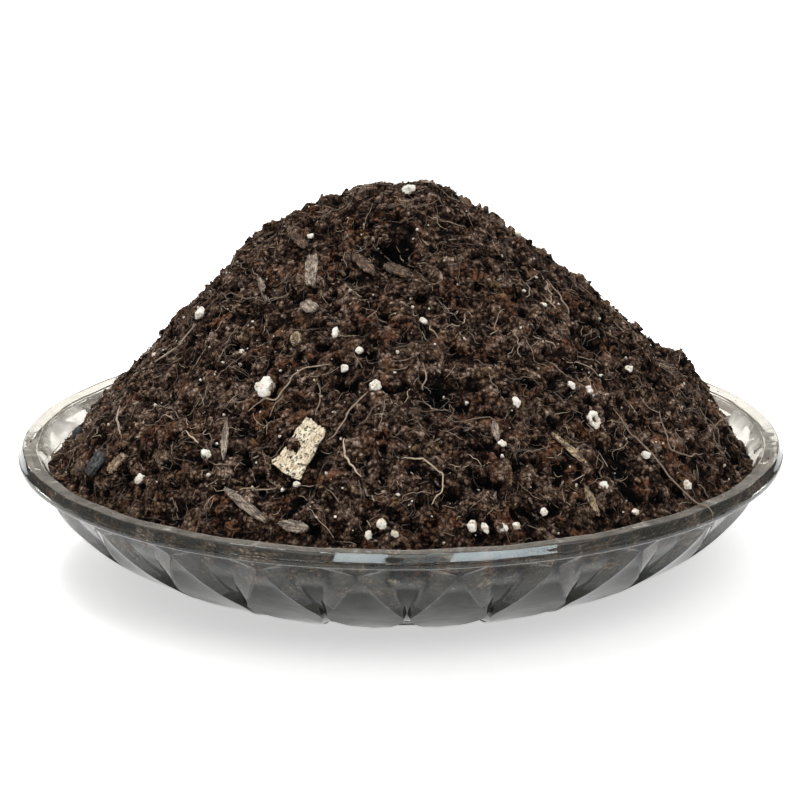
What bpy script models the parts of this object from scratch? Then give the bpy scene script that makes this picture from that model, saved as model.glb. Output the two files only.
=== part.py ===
"""A pressed-glass dish heaped with moist potting mix, with perlite, bark and roots in it.

Metres, +Z up. The origin is at the centre of the dish's foot, on the surface that it
stands on, and the front of the heap faces -Y. Bearings are in degrees round +Z, from
the front towards +X.
"""

import math
import random

import bmesh
import bpy
from mathutils import Matrix, Vector, noise
from mathutils.bvhtree import BVHTree

# The dish's rim
RIM_RADIUS = 0.0920
RIM_DEPTH = 0.0038
RIM_ROUND = 0.0007
LEDGE_WIDTH = 0.0047
PANEL_DIP = 0.0002

# The dish's wall, floor and foot
DISH_HEIGHT = 0.0320
WALL = 0.0036
WALL_SET_BACK = 0.0044
WALL_TOP_DROP = 0.0060
BELLY_RADIUS = 0.0770
BELLY_HEIGHT = 0.0077
FLOOR = 0.0042
FOOT_RADIUS = 0.0470
FOOT_WIDTH = 0.0050
FOOT_HEIGHT = 0.0012
FOOT_TAPER = 0.0008
FLOOR_RISE = 0.0011
FLOOR_FLAT_RADIUS = 0.0235
INNER_ROWS = (0.0, 0.22, 0.46, 0.74)

# The pressed pattern of kites on the wall
KITES = 24
COLUMNS_PER_KITE = 3
PATTERN_TURN = 1.0
KITE_RELIEF = 0.0015
KITE_DISH = 0.45
KITE_BEAD = 0.5
KITE_WAIST = 0.5
BAND_SHARE = 0.57
BAND_AT_WAIST = 0.90
TIP_SHARE = 0.06
WAIST_SHARE = 0.92
ROWS_ABOVE_WAIST = (0.1, 0.4, 0.7, 1.0)
ROWS_BELOW_WAIST = (0.36, 0.72)

# The heap of potting mix
CLEARANCE = 0.0003
PEAK_OFFSET = 0.0023
PEAK_ABOVE_RIM = 0.0615
PEAK_ROUNDING = 0.19
LEFT_FULLNESS = 0.86
RIGHT_FULLNESS = 0.79
EDGE_DROP_FRONT = 0.0010
EDGE_DROP_BACK = 0.0055
EDGE_DROP_FROM = 60.0
EDGE_DROP_TO = 95.0
LUMP_SIZE = 0.0095
LUMP_HEIGHT = 0.0026
LUMP_PHASE = 30.9
CLOD_SIZE = 0.0066
CLOD_HEIGHT = 0.0030
CLOD_PHASE = 1.1
EDGE_FADE = 0.90
HEAP_SEED = 7
HEAP_RINGS = (8, 14, 20, 26, 32, 38, 44, 50, 56, 60, 64, 68, 70, 72, 72, 72, 72)
RING_SPACING = 0.97
RING_WANDER = 0.18

# Swellings of the heap: bearing, share of the way down, height, spread
SWELLINGS = (
    (-106.0, 0.37, 0.0070, 0.0160),
    (90.0, 0.10, 0.0038, 0.0050),
    (98.0, 0.83, 0.0055, 0.0042),
    (96.0, 0.70, -0.0030, 0.0055),
)

# Hollows of the heap: bearing, share of the way down, depth, spread
HOLLOWS = (
    (-4.0, 0.25, 0.0040, 0.0034),
    (40.0, 0.90, 0.0032, 0.0030),
    (9.0, 0.66, 0.0022, 0.0032),
    (73.0, 0.95, 0.0022, 0.0030),
    (57.0, 0.61, 0.0022, 0.0024),
)

# What lies on the heap is sunk this far into its own pocket, as a share of its thickness
GRAIN_SUNK = 0.30
CHIP_SUNK = 0.35
POCKET_OPENING = 0.0030
GRAIN_ROUGHNESS = 0.16
GRAIN_DEPTH = 0.90
POCKET_ROUND = 1.26
ROOT_STEP = 0.0024
ROOT_HAND = 0.0012

# Perlite grains: bearing, share of the way down, length, width, heading from down-slope
PERLITE_GRAINS = (
    (-32, 0.676, 0.0056, 0.0042, 10),
    (-6, 0.654, 0.0032, 0.0029, 0),
    (-37, 0.851, 0.0028, 0.0023, 80),
    (-48, 0.932, 0.0027, 0.0022, 0),
    (-77, 0.567, 0.0033, 0.0028, 60),
    (18, 0.078, 0.0032, 0.0027, 90),
    (40, 0.792, 0.0044, 0.0030, -20),
    (44, 0.719, 0.0025, 0.0023, 0),
    (25, 0.723, 0.0028, 0.0018, 10),
    (40, 0.705, 0.0021, 0.0018, 0),
    (60, 0.711, 0.0021, 0.0019, 40),
    (11, 0.964, 0.0033, 0.0022, 0),
    (13, 0.968, 0.0028, 0.0016, 15),
    (16, 0.970, 0.0031, 0.0020, 80),
    (23, 0.952, 0.0019, 0.0017, 0),
    (52, 0.966, 0.0024, 0.0021, 0),
    (35, 0.930, 0.0024, 0.0019, 45),
    (47, 0.891, 0.0022, 0.0019, 20),
    (-14, 0.608, 0.0021, 0.0019, 0),
    (-20, 0.505, 0.0032, 0.0016, 10),
    (-3, 0.950, 0.0026, 0.0022, 20),
    (-1, 0.967, 0.0020, 0.0017, 60),
    (-5, 0.970, 0.0024, 0.0017, 0),
    (7, 0.487, 0.0020, 0.0016, 90),
)

# Root widths and routes: bearing and share of the way down, point by point
ROOT_WIDTH = 0.0007
STRAW_WIDTH = 0.0009
ROOTS = {
    "root_left": (
        ROOT_WIDTH,
        ((-33, 0.745), (-31, 0.712), (-28, 0.699), (-27, 0.656), (-24, 0.623), (-18, 0.610)),
    ),
    "root_middle": (
        ROOT_WIDTH,
        ((-7, 0.684), (-9, 0.714), (-11, 0.728), (-12, 0.751), (-14, 0.784)),
    ),
    "root_wavy": (
        ROOT_WIDTH,
        ((0, 0.820), (2, 0.836), (4, 0.835), (6, 0.842), (7, 0.855), (7, 0.884), (5, 0.922)),
    ),
    "root_right": (ROOT_WIDTH, ((57, 0.832), (54, 0.880), (53, 0.908), (56, 0.926), (60, 0.940))),
    "root_high": (ROOT_WIDTH, ((65, 0.443), (62, 0.492), (57, 0.548))),
    "root_short": (ROOT_WIDTH, ((6, 0.595), (6, 0.632), (5, 0.669))),
    "straw_left": (STRAW_WIDTH, ((-71, 0.812), (-67, 0.838), (-61, 0.871))),
    "straw_middle": (STRAW_WIDTH, ((-11, 0.778), (-10, 0.820), (-7, 0.869))),
    "straw_back_left": (STRAW_WIDTH, ((-70, 0.597), (-72, 0.650), (-74, 0.706))),
}

# The root that hangs over the rim: its route on the heap, then radius and height above the rim
RIM_ROOT_ON_HEAP = ((46, 0.789), (47, 0.847), (48, 0.902), (49, 0.949))
RIM_ROOT_BEARING = 50.7
RIM_ROOT_HANG = 0.0027


def remove_everything():
    """Empty the scene."""
    for thing in list(bpy.data.objects):
        bpy.data.objects.remove(thing, do_unlink=True)


def make_material(name, colour, roughness, metallic=0.0, transmission=0.0):
    """Return a Principled material."""
    material = bpy.data.materials.new(name)
    material.use_nodes = True
    shader = material.node_tree.nodes["Principled BSDF"]
    shader.inputs["Base Color"].default_value = (*colour, 1.0)
    shader.inputs["Roughness"].default_value = roughness
    shader.inputs["Metallic"].default_value = metallic
    shader.inputs["Transmission Weight"].default_value = transmission
    return material


def add_object(name, bm, material, sharp_angle=None):
    """Turn a bmesh into a named object, smooth shaded up to the sharp angle."""
    bmesh.ops.recalc_face_normals(bm, faces=bm.faces)
    mesh = bpy.data.meshes.new(name)
    bm.to_mesh(mesh)
    bm.free()
    if sharp_angle is not None:
        mesh.shade_smooth()
        mesh.set_sharp_from_angle(angle=math.radians(sharp_angle))
    thing = bpy.data.objects.new(name, mesh)
    thing.data.materials.append(material)
    bpy.context.collection.objects.link(thing)
    return thing


def smooth_step(low, high, value):
    """Ease from 0 at low to 1 at high."""
    share = min(max((value - low) / (high - low), 0.0), 1.0)
    return share * share * (3.0 - 2.0 * share)


def at_bearing(bearing, radius, height):
    """Return the point at a bearing, a radius and a height."""
    turn = math.radians(bearing)
    return Vector((radius * math.sin(turn), -radius * math.cos(turn), height))


def even_bearings(count, start=0.0):
    """Return bearings spread evenly round the circle."""
    return [start + 360.0 * step / count for step in range(count)]


class Ring:
    """A closed ring of vertices, each with its bearing."""

    def __init__(self, bm, bearings, place):
        self.bearings = bearings
        self.verts = [bm.verts.new(place(bearing)) for bearing in bearings]


def flat_ring(bm, bearings, radius, height):
    """Return a ring at one radius and height."""
    return Ring(bm, bearings, lambda bearing: at_bearing(bearing, radius, height))


def stitch(bm, one, other):
    """Join two rings, of any counts, with a band of faces."""
    if len(one.verts) == len(other.verts):
        count = len(one.verts)
        for step in range(count):
            after = (step + 1) % count
            bm.faces.new((one.verts[step], one.verts[after], other.verts[after], other.verts[step]))
        return
    here = 0
    there = 0
    while here < len(one.verts) or there < len(other.verts):
        next_one = bearing_after(one, here + 1)
        next_other = bearing_after(other, there + 1)
        take_one = there >= len(other.verts) or (here < len(one.verts) and next_one <= next_other)
        corner_one = one.verts[here % len(one.verts)]
        corner_other = other.verts[there % len(other.verts)]
        if take_one:
            here += 1
            bm.faces.new((corner_one, one.verts[here % len(one.verts)], corner_other))
        else:
            there += 1
            bm.faces.new((corner_one, other.verts[there % len(other.verts)], corner_other))


def bearing_after(ring, index):
    """Return the bearing of a ring's vertex, counting on past a full turn."""
    turns, place = divmod(index, len(ring.verts))
    return ring.bearings[place] + 360.0 * turns


def close_ring(bm, ring, centre):
    """Fill a ring with a fan about a centre point."""
    hub = bm.verts.new(centre)
    count = len(ring.verts)
    for step in range(count):
        bm.faces.new((ring.verts[step], ring.verts[(step + 1) % count], hub))


def wall_curve(share):
    """Return the outer wall's mean radius and height, from its top (0) to the foot (1)."""
    top = Vector((RIM_RADIUS - WALL_SET_BACK, DISH_HEIGHT - WALL_TOP_DROP))
    belly = Vector((BELLY_RADIUS, BELLY_HEIGHT))
    foot = Vector((FOOT_RADIUS, FOOT_HEIGHT))
    rest = 1.0 - share
    return rest * rest * top + 2.0 * share * rest * belly + share * share * foot


def wall_outward(share):
    """Return the wall's normal, as radius and height, away from the inside."""
    step = 0.01
    along = wall_curve(min(share + step, 1.0)) - wall_curve(max(share - step, 0.0))
    return Vector((-along.y, along.x)).normalized()


def inner_profile():
    """Return the inside of the dish as radius and height, from the ledge to the floor."""
    points = [Vector((RIM_RADIUS - LEDGE_WIDTH, DISH_HEIGHT))]
    for share in INNER_ROWS:
        points.append(wall_curve(share) - WALL * wall_outward(share))
    points.append(Vector((FOOT_RADIUS - WALL, FLOOR + FLOOR_RISE)))
    points.append(Vector((FLOOR_FLAT_RADIUS, FLOOR)))
    return points


def inner_radius(height):
    """Return the radius of the dish's inside at a height."""
    points = inner_profile()
    for upper, lower in zip(points, points[1:]):
        if upper.y >= height >= lower.y:
            share = (upper.y - height) / (upper.y - lower.y)
            return upper.x + share * (lower.x - upper.x)
    return points[0].x if height > points[0].y else points[-1].x


def kite_row(share):
    """Return a row of the pattern: bearings in one repeat and relief at each.

    A kite starts as a point under the rim, is widest at its waist, where it meets its
    neighbours, and ends in a bead near the foot. Beside its upper edges run plain bands.
    """
    half = 0.5 * 360.0 / KITES
    if share < KITE_WAIST:
        reach = share / KITE_WAIST
    else:
        reach = (1.0 - share) / (1.0 - KITE_WAIST)
    edge = half * min(max(reach, TIP_SHARE), WAIST_SHARE)
    band = edge + (half - edge) * (BAND_SHARE + (BAND_AT_WAIST - BAND_SHARE) * reach)
    towards_tip = smooth_step(KITE_WAIST, 1.0, share)
    middle = 1.0 - KITE_DISH * math.sin(math.pi * share) + KITE_BEAD * towards_tip
    bearings = (0.0, edge, band, half, 2.0 * half - band, 2.0 * half - edge)
    reliefs = (middle, 1.0, 0.0, 0.0, 0.0, 1.0)
    return bearings, reliefs


def kite_ring(bm, share):
    """Return one ring of the patterned wall."""
    offsets, reliefs = kite_row(share)
    pitch = 360.0 / KITES
    bearings = []
    heights = {}
    for kite in range(KITES):
        for offset, relief in zip(offsets, reliefs):
            bearing = PATTERN_TURN + (kite + 0.5) * pitch + offset
            bearings.append(bearing)
            heights[bearing] = (relief - 0.5) * KITE_RELIEF
    base = wall_curve(share)
    normal = wall_outward(share)

    def place(bearing):
        point = base + heights[bearing] * normal
        return at_bearing(bearing, point.x, point.y)

    return Ring(bm, bearings, place)


def build_dish(material):
    """Build the pressed-glass dish as one moulded piece."""
    bm = bmesh.new()
    pitch = 360.0 / KITES
    start = PATTERN_TURN + 0.5 * pitch
    columns = even_bearings(COLUMNS_PER_KITE * KITES, start)
    rim_low = DISH_HEIGHT - RIM_DEPTH
    ledge_in = RIM_RADIUS - LEDGE_WIDTH

    def ledge_ring(radius):
        def place(bearing):
            on_line = round((bearing - start) / pitch * COLUMNS_PER_KITE) % COLUMNS_PER_KITE == 0
            return at_bearing(bearing, radius, DISH_HEIGHT - (0.0 if on_line else PANEL_DIP))

        return Ring(bm, columns, place)

    inside = [flat_ring(bm, columns, point.x, point.y) for point in inner_profile()[1:]]
    ledge = [ledge_ring(ledge_in), ledge_ring(RIM_RADIUS - RIM_ROUND)]
    rim = [
        flat_ring(bm, columns, RIM_RADIUS, DISH_HEIGHT - PANEL_DIP - RIM_ROUND),
        flat_ring(bm, columns, RIM_RADIUS, rim_low + RIM_ROUND),
        flat_ring(bm, columns, RIM_RADIUS - RIM_ROUND, rim_low),
        flat_ring(bm, columns, *wall_curve(0.0)),
    ]
    above = [KITE_WAIST * share for share in ROWS_ABOVE_WAIST]
    below = [KITE_WAIST + (1.0 - KITE_WAIST) * share for share in ROWS_BELOW_WAIST]
    wall = [kite_ring(bm, share) for share in above + below]
    recess = FOOT_RADIUS - FOOT_WIDTH
    foot = [
        flat_ring(bm, columns, FOOT_RADIUS, FOOT_HEIGHT),
        flat_ring(bm, columns, FOOT_RADIUS - FOOT_TAPER, 0.0),
        flat_ring(bm, columns, recess, 0.0),
        flat_ring(bm, columns, recess - FOOT_TAPER, FOOT_HEIGHT),
        flat_ring(bm, even_bearings(KITES, start), 0.5 * recess, FOOT_HEIGHT),
    ]
    rings = inside[::-1] + ledge + rim + wall + foot
    for one, other in zip(rings, rings[1:]):
        stitch(bm, one, other)
    close_ring(bm, rings[0], Vector((0.0, 0.0, FLOOR)))
    close_ring(bm, rings[-1], Vector((0.0, 0.0, FOOT_HEIGHT)))
    return add_object("glass_dish", bm, material, sharp_angle=12.0)


def edge_drop(bearing):
    """Return how far below the ledge the heap meets the wall."""
    from_front = abs((bearing + 180.0) % 360.0 - 180.0)
    behind = smooth_step(EDGE_DROP_FROM, EDGE_DROP_TO, from_front)
    return EDGE_DROP_FRONT + behind * (EDGE_DROP_BACK - EDGE_DROP_FRONT)


def edge_radius(bearing):
    """Return the heap's radius where it meets the wall."""
    return inner_radius(DISH_HEIGHT - edge_drop(bearing)) - CLEARANCE


def down_slope(bearing, share):
    """Return the plan point at a bearing, a share of the way from the middle to the wall."""
    return at_bearing(bearing, share * edge_radius(bearing), 0.0)


def flank(share):
    """Return the heap's height, from 1 at the peak to 0 at the wall, with a rounded top."""
    rounding = PEAK_ROUNDING
    full = math.sqrt(1.0 + rounding * rounding)
    return max((full - math.sqrt(share * share + rounding * rounding)) / (full - rounding), 0.0)


def heap_height(x, y):
    """Return the height of the heap's surface."""
    centre = Vector((PEAK_OFFSET, 0.0))
    away = Vector((x, y)) - centre
    distance = away.length
    unit = away / distance if distance > 1e-9 else Vector((1.0, 0.0))
    bearing = math.degrees(math.atan2(x, -y))
    wall = edge_radius(bearing)
    along = centre.dot(unit)
    to_wall = -along + math.sqrt(max(along * along - centre.length_squared + wall * wall, 0.0))
    share = min(distance / to_wall, 1.0)
    fullness = 0.5 * (LEFT_FULLNESS + RIGHT_FULLNESS) + 0.5 * (RIGHT_FULLNESS - LEFT_FULLNESS) * unit.x
    drop = edge_drop(bearing)
    base = DISH_HEIGHT - drop
    height = base + (PEAK_ABOVE_RIM + drop) * flank(share) ** fullness
    fade = 1.0 - smooth_step(EDGE_FADE, 1.0, share)
    for turn, down, rise, spread in SWELLINGS:
        spot = down_slope(turn, down)
        gap = (x - spot.x) ** 2 + (y - spot.y) ** 2
        height += fade * rise * math.exp(-gap / (2.0 * spread * spread))
    for turn, down, depth, spread in HOLLOWS:
        spot = down_slope(turn, down)
        gap = (x - spot.x) ** 2 + (y - spot.y) ** 2
        height -= fade * depth * math.exp(-gap / (2.0 * spread * spread))
    lumps = LUMP_HEIGHT * noise.noise(Vector((x / LUMP_SIZE, y / LUMP_SIZE, LUMP_PHASE)))
    clods = CLOD_HEIGHT * noise.noise(Vector((x / CLOD_SIZE, y / CLOD_SIZE, CLOD_PHASE)))
    return height + fade * (lumps + clods)


def build_heap(material):
    """Build the heap: a lumpy top, and an underside that follows the inside of the dish."""
    bm = bmesh.new()
    rng = random.Random(HEAP_SEED)
    steps = len(HEAP_RINGS)
    rings = []
    for index, count in enumerate(HEAP_RINGS):
        share = ((index + 1) / steps) ** RING_SPACING
        pitch = 360.0 / count
        at_wall = index == steps - 1
        wander = 0.0 if at_wall else RING_WANDER
        bearings = []
        shares = {}
        for bearing in even_bearings(count, 0.0 if at_wall else 0.5 * pitch):
            bearing += wander * pitch * rng.uniform(-1.0, 1.0)
            bearings.append(bearing)
            shares[bearing] = share + wander / steps * rng.uniform(-1.0, 1.0)

        def place(bearing, shares=shares):
            spot = down_slope(bearing, shares[bearing])
            return Vector((spot.x, spot.y, heap_height(spot.x, spot.y)))

        rings.append(Ring(bm, bearings, place))
    close_ring(bm, rings[0], Vector((0.0, 0.0, heap_height(0.0, 0.0))))
    columns = rings[-1].bearings
    for point in inner_profile()[2:]:
        radius = point.x - CLEARANCE
        rings.append(flat_ring(bm, columns, radius, point.y + CLEARANCE))
    for one, other in zip(rings, rings[1:]):
        stitch(bm, one, other)
    close_ring(bm, rings[-1], Vector((0.0, 0.0, FLOOR + CLEARANCE)))
    return add_object("potting_mix", bm, material, sharp_angle=35.0)


class Chip:
    """A flat or curled chip of bark, wood, straw or charcoal."""

    def __init__(self, name, bearing, down, heading, length, width, thickness, finish,
                 curl=20.0, ends=(0.5, 0.4), skew=0.0):
        self.name = name
        self.bearing = bearing
        self.down = down
        self.heading = heading
        self.length = length
        self.width = width
        self.thickness = thickness
        self.finish = finish
        self.curl = curl
        self.ends = ends
        self.skew = skew


# Chips: name, bearing, share of the way down, heading, length, width, thickness, finish
CHIPS = (
    Chip("pale_flake", -19, 0.803, -18, 0.0140, 0.0072, 0.0007, "flake", 35.0, (0.90, 1.25), 0.16),
    Chip("wood_chip_grey", -43, 0.352, 35, 0.0105, 0.0034, 0.0008, "wood", 40.0, (0.7, 0.6), 0.10),
    Chip("bark_curl", -65, 0.303, 88, 0.0066, 0.0026, 0.0010, "bark", 110.0, (0.9, 0.9)),
    Chip("bark_chip_top", -18, 0.313, 55, 0.0078, 0.0028, 0.0009, "bark", 25.0, (0.7, 0.5)),
    Chip("bark_chip_middle", -1, 0.330, 40, 0.0088, 0.0030, 0.0010, "bark", 45.0, (0.8, 0.7)),
    Chip("stick_grey", -56, 0.447, 60, 0.0086, 0.0016, 0.0011, "wood", 30.0, (0.7, 0.6)),
    Chip("bark_chip_pale", -32, 0.463, 60, 0.0050, 0.0042, 0.0010, "wood", 20.0, (0.7, 0.6)),
    Chip("sliver_left", -35, 0.812, 25, 0.0110, 0.0020, 0.0008, "wood", 20.0, (0.6, 0.5)),
    Chip("straw_chip_upper", 32, 0.845, 25, 0.0110, 0.0020, 0.0009, "straw", 40.0, (0.6, 0.4)),
    Chip("straw_chip_lower", 32, 0.946, 8, 0.0074, 0.0019, 0.0009, "straw", 40.0, (0.6, 0.5)),
    Chip("sliver_middle", 19, 0.769, -8, 0.0056, 0.0020, 0.0007, "wood", 15.0, (0.6, 0.5)),
    Chip("charcoal_chip", -61, 0.938, 10, 0.0062, 0.0036, 0.0020, "charcoal", 10.0, (0.8, 0.7), 0.15),
    Chip("bark_lump", -65, 0.958, 70, 0.0046, 0.0036, 0.0022, "bark", 30.0, (0.7, 0.7)),
    Chip("bark_chip_tan", -56, 0.919, -10, 0.0052, 0.0032, 0.0010, "straw", 30.0, (0.7, 0.6)),
    Chip("bark_chip_dark", -88, 0.930, 75, 0.0048, 0.0030, 0.0012, "charcoal", 20.0, (0.7, 0.6)),
    Chip("bark_chip_front", -17, 0.966, 85, 0.0070, 0.0030, 0.0009, "wood", 20.0, (0.3, 0.8)),
    Chip("stick_front", -26, 0.932, 62, 0.0150, 0.0024, 0.0013, "wood", 30.0, (0.6, 0.7)),
    Chip("bark_knot", -31, 0.539, 20, 0.0036, 0.0030, 0.0016, "straw", 20.0, (0.7, 0.7)),
)
CHIP_STEPS_ALONG = 3
CHIP_STEPS_ACROSS = 2


class Surface:
    """The heap's surface, found straight below a plan point."""

    def __init__(self, heap):
        self.tree = BVHTree.FromObject(heap, bpy.context.evaluated_depsgraph_get())
        self.above = DISH_HEIGHT + 2.0 * PEAK_ABOVE_RIM

    def height(self, x, y):
        """Return the surface's height at a plan point, or nothing off the heap."""
        spot = self.tree.ray_cast(Vector((x, y, self.above)), Vector((0.0, 0.0, -1.0)))[0]
        return None if spot is None else spot.z

    def highest(self, x, y, reach):
        """Return the surface's greatest height within reach of a plan point."""
        found = [self.height(x, y)]
        for turn in even_bearings(8):
            beside = at_bearing(turn, reach, 0.0)
            found.append(self.height(x + beside.x, y + beside.y))
        return max(height for height in found if height is not None)

    def frame(self, bearing, down, reach):
        """Return a point on the surface with its down-slope, across and normal directions."""
        spot = down_slope(bearing, down)
        below = down_slope(bearing, down + reach / edge_radius(bearing))
        above = down_slope(bearing, down - reach / edge_radius(bearing))
        sideways = at_bearing(bearing + 90.0, reach, 0.0)
        low = Vector((below.x, below.y, self.height(below.x, below.y)))
        high = Vector((above.x, above.y, self.height(above.x, above.y)))
        one = spot + sideways
        other = spot - sideways
        one.z = self.height(one.x, one.y)
        other.z = self.height(other.x, other.y)
        fall = (low - high).normalized()
        normal = fall.cross(one - other).normalized()
        normal = normal if normal.z > 0.0 else -normal
        across = normal.cross(fall).normalized()
        centre = 0.25 * (low + high + one + other)
        return centre, fall, across, normal


def lay(bm, surface, bearing, down, heading, reach, lift):
    """Move a shape from its own axes to its place on the surface: X along, Y across, Z up."""
    centre, fall, across, normal = surface.frame(bearing, down, reach)
    turn = math.radians(heading)
    along = math.cos(turn) * fall + math.sin(turn) * across
    side = normal.cross(along)
    place = Matrix((along, side, normal)).transposed().to_4x4()
    place.translation = centre + lift * normal
    bmesh.ops.transform(bm, matrix=place, verts=bm.verts)


def grain_shape(length, width, number):
    """Return a lumpy perlite grain."""
    bm = bmesh.new()
    bmesh.ops.create_icosphere(bm, subdivisions=2, radius=1.0)
    for vert in bm.verts:
        lump = 1.0 + GRAIN_ROUGHNESS * noise.noise(1.3 * vert.co + Vector((number, 0.0, 0.0)))
        vert.co = vert.co * lump
    bmesh.ops.scale(bm, vec=grain_half_size(length, width), verts=bm.verts)
    return bm


def grain_half_size(length, width):
    """Return a grain's half length, half width and half depth."""
    return Vector((0.5 * length, 0.5 * width, 0.5 * GRAIN_DEPTH * width))


def grain_pocket(length, width):
    """Return the plain pocket that a grain sits in, clear of it all round."""
    bm = bmesh.new()
    bmesh.ops.create_icosphere(bm, subdivisions=1, radius=POCKET_ROUND)
    half = grain_half_size(length, width) * (1.0 + 0.5 * GRAIN_ROUGHNESS)
    bmesh.ops.scale(bm, vec=half + Vector((CLEARANCE, CLEARANCE, CLEARANCE)), verts=bm.verts)
    return bm


def chip_shape(chip, grow, opening=0.0):
    """Return a chip's solid, grown by a clearance, or opened upwards as its pocket."""
    bm = bmesh.new()
    half_length = 0.5 * chip.length + grow
    half_width = 0.5 * chip.width + grow
    curl = math.radians(max(chip.curl, 1.0))
    bend = chip.width / curl
    layers = []
    for level in (-0.5 * chip.thickness - grow, 0.5 * chip.thickness + grow + opening):
        rows = []
        for step in range(CHIP_STEPS_ALONG + 1):
            share = step / CHIP_STEPS_ALONG
            taper = chip.ends[0] + (chip.ends[1] - chip.ends[0]) * share
            fullness = taper + (1.0 - taper) * math.sin(math.pi * share)
            row = []
            for side in range(CHIP_STEPS_ACROSS + 1):
                across = (2.0 * side / CHIP_STEPS_ACROSS - 1.0) * half_width * fullness
                angle = across / bend
                along = (2.0 * share - 1.0) * half_length + chip.skew * across
                height = bend * (1.0 - math.cos(angle))
                row.append(bm.verts.new((along, bend * math.sin(angle), level + height)))
            rows.append(row)
        layers.append(rows)
    low, high = layers
    for rows in layers:
        for row, next_row in zip(rows, rows[1:]):
            for side in range(CHIP_STEPS_ACROSS):
                bm.faces.new((row[side], row[side + 1], next_row[side + 1], next_row[side]))
    for step in range(CHIP_STEPS_ALONG):
        for side in (0, CHIP_STEPS_ACROSS):
            bm.faces.new((low[step][side], low[step + 1][side], high[step + 1][side], high[step][side]))
    for step in (0, CHIP_STEPS_ALONG):
        for side in range(CHIP_STEPS_ACROSS):
            bm.faces.new((low[step][side], low[step][side + 1], high[step][side + 1], high[step][side]))
    return bm


def add_cutter(name, bm, cutters, material):
    """Add a pocket's cutter, which isn't part of the object."""
    cutter = add_object(name, bm, material)
    bpy.context.collection.objects.unlink(cutter)
    cutters.objects.link(cutter)
    cutter.hide_render = True
    cutter.display_type = "WIRE"


def build_grains(surface, material, cutters):
    """Build the perlite grains, half sunk in their pockets."""
    for number, (bearing, down, length, width, heading) in enumerate(PERLITE_GRAINS, 1):
        name = f"perlite_grain_{number:02d}"
        lift = (0.5 - GRAIN_SUNK) * width
        bm = grain_shape(length, width, number)
        lay(bm, surface, bearing, down, heading, 0.5 * length, lift)
        add_object(name, bm, material, sharp_angle=60.0)
        bm = grain_pocket(length, width)
        lay(bm, surface, bearing, down, heading, 0.5 * length, lift)
        add_cutter(name + "_pocket", bm, cutters, material)


def build_chips(surface, finishes, cutters):
    """Build the chips, each bedded in its pocket."""
    for chip in CHIPS:
        material = finishes[chip.finish]
        lift = (0.5 - CHIP_SUNK) * chip.thickness
        place = (chip.bearing, chip.down, chip.heading, 0.35 * chip.length, lift)
        bm = chip_shape(chip, 0.0)
        lay(bm, surface, *place)
        add_object(chip.name, bm, material, sharp_angle=50.0)
        bm = chip_shape(chip, CLEARANCE, POCKET_OPENING)
        lay(bm, surface, *place)
        add_cutter(chip.name + "_pocket", bm, cutters, material)


def smooth_route(points, step):
    """Return points a step apart on a smooth curve through a route's own points."""
    route = [points[0]] + list(points) + [points[-1]]
    smooth = []
    for before, start, end, after in zip(route, route[1:], route[2:], route[3:]):
        count = max(int(round((end - start).length / step)), 1)
        for index in range(count):
            share = index / count
            square = share * share
            cube = square * share
            smooth.append(
                0.5 * (2.0 * start + (end - before) * share
                       + (2.0 * before - 5.0 * start + 4.0 * end - after) * square
                       + (3.0 * start - before - 3.0 * end + after) * cube)
            )
    smooth.append(route[-1])
    return smooth


def add_root(name, points, width, material):
    """Build a root as a round tube along its points."""
    curve = bpy.data.curves.new(name, "CURVE")
    curve.dimensions = "3D"
    curve.bevel_depth = 0.5 * width
    curve.bevel_resolution = 1
    curve.use_fill_caps = True
    spline = curve.splines.new("POLY")
    spline.points.add(len(points) - 1)
    for knot, point in zip(spline.points, points):
        knot.co = (*point, 1.0)
    curve.materials.append(material)
    root = bpy.data.objects.new(name, curve)
    bpy.context.collection.objects.link(root)


def on_heap(surface, route, width):
    """Return a smooth route that rests on the heap."""
    plan = [down_slope(bearing, down) for bearing, down in route]
    laid = []
    for point in smooth_route(plan, ROOT_STEP):
        height = surface.highest(point.x, point.y, ROOT_HAND)
        laid.append(Vector((point.x, point.y, height + 0.5 * width + CLEARANCE)))
    return laid


def build_roots(surface, materials):
    """Build the roots and straws that lie on the heap, and the root over the rim."""
    for name, (width, route) in ROOTS.items():
        finish = "straw" if name.startswith("straw") else "root"
        add_root(name, on_heap(surface, route, width), width, materials[finish])
    lying = on_heap(surface, RIM_ROOT_ON_HEAP, ROOT_WIDTH)
    rise = 0.5 * ROOT_WIDTH + CLEARANCE
    ledge_in = RIM_RADIUS - LEDGE_WIDTH
    over = [
        at_bearing(RIM_ROOT_BEARING, ledge_in, DISH_HEIGHT + 2.0 * rise),
        at_bearing(RIM_ROOT_BEARING, RIM_RADIUS - RIM_ROUND, DISH_HEIGHT + rise),
        at_bearing(RIM_ROOT_BEARING, RIM_RADIUS + rise, DISH_HEIGHT - RIM_ROUND),
        at_bearing(RIM_ROOT_BEARING, RIM_RADIUS + rise, DISH_HEIGHT - RIM_ROOT_HANG),
    ]
    points = lying[:-1] + smooth_route([lying[-1]] + over, ROOT_STEP)
    add_root("root_over_rim", points, ROOT_WIDTH, materials["root"])


def cut_pockets(heap, cutters):
    """Cut the pockets of what is sunk in the heap."""
    cut = heap.modifiers.new("pockets", "BOOLEAN")
    cut.operation = "DIFFERENCE"
    cut.solver = "EXACT"
    cut.operand_type = "COLLECTION"
    cut.collection = cutters


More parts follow.
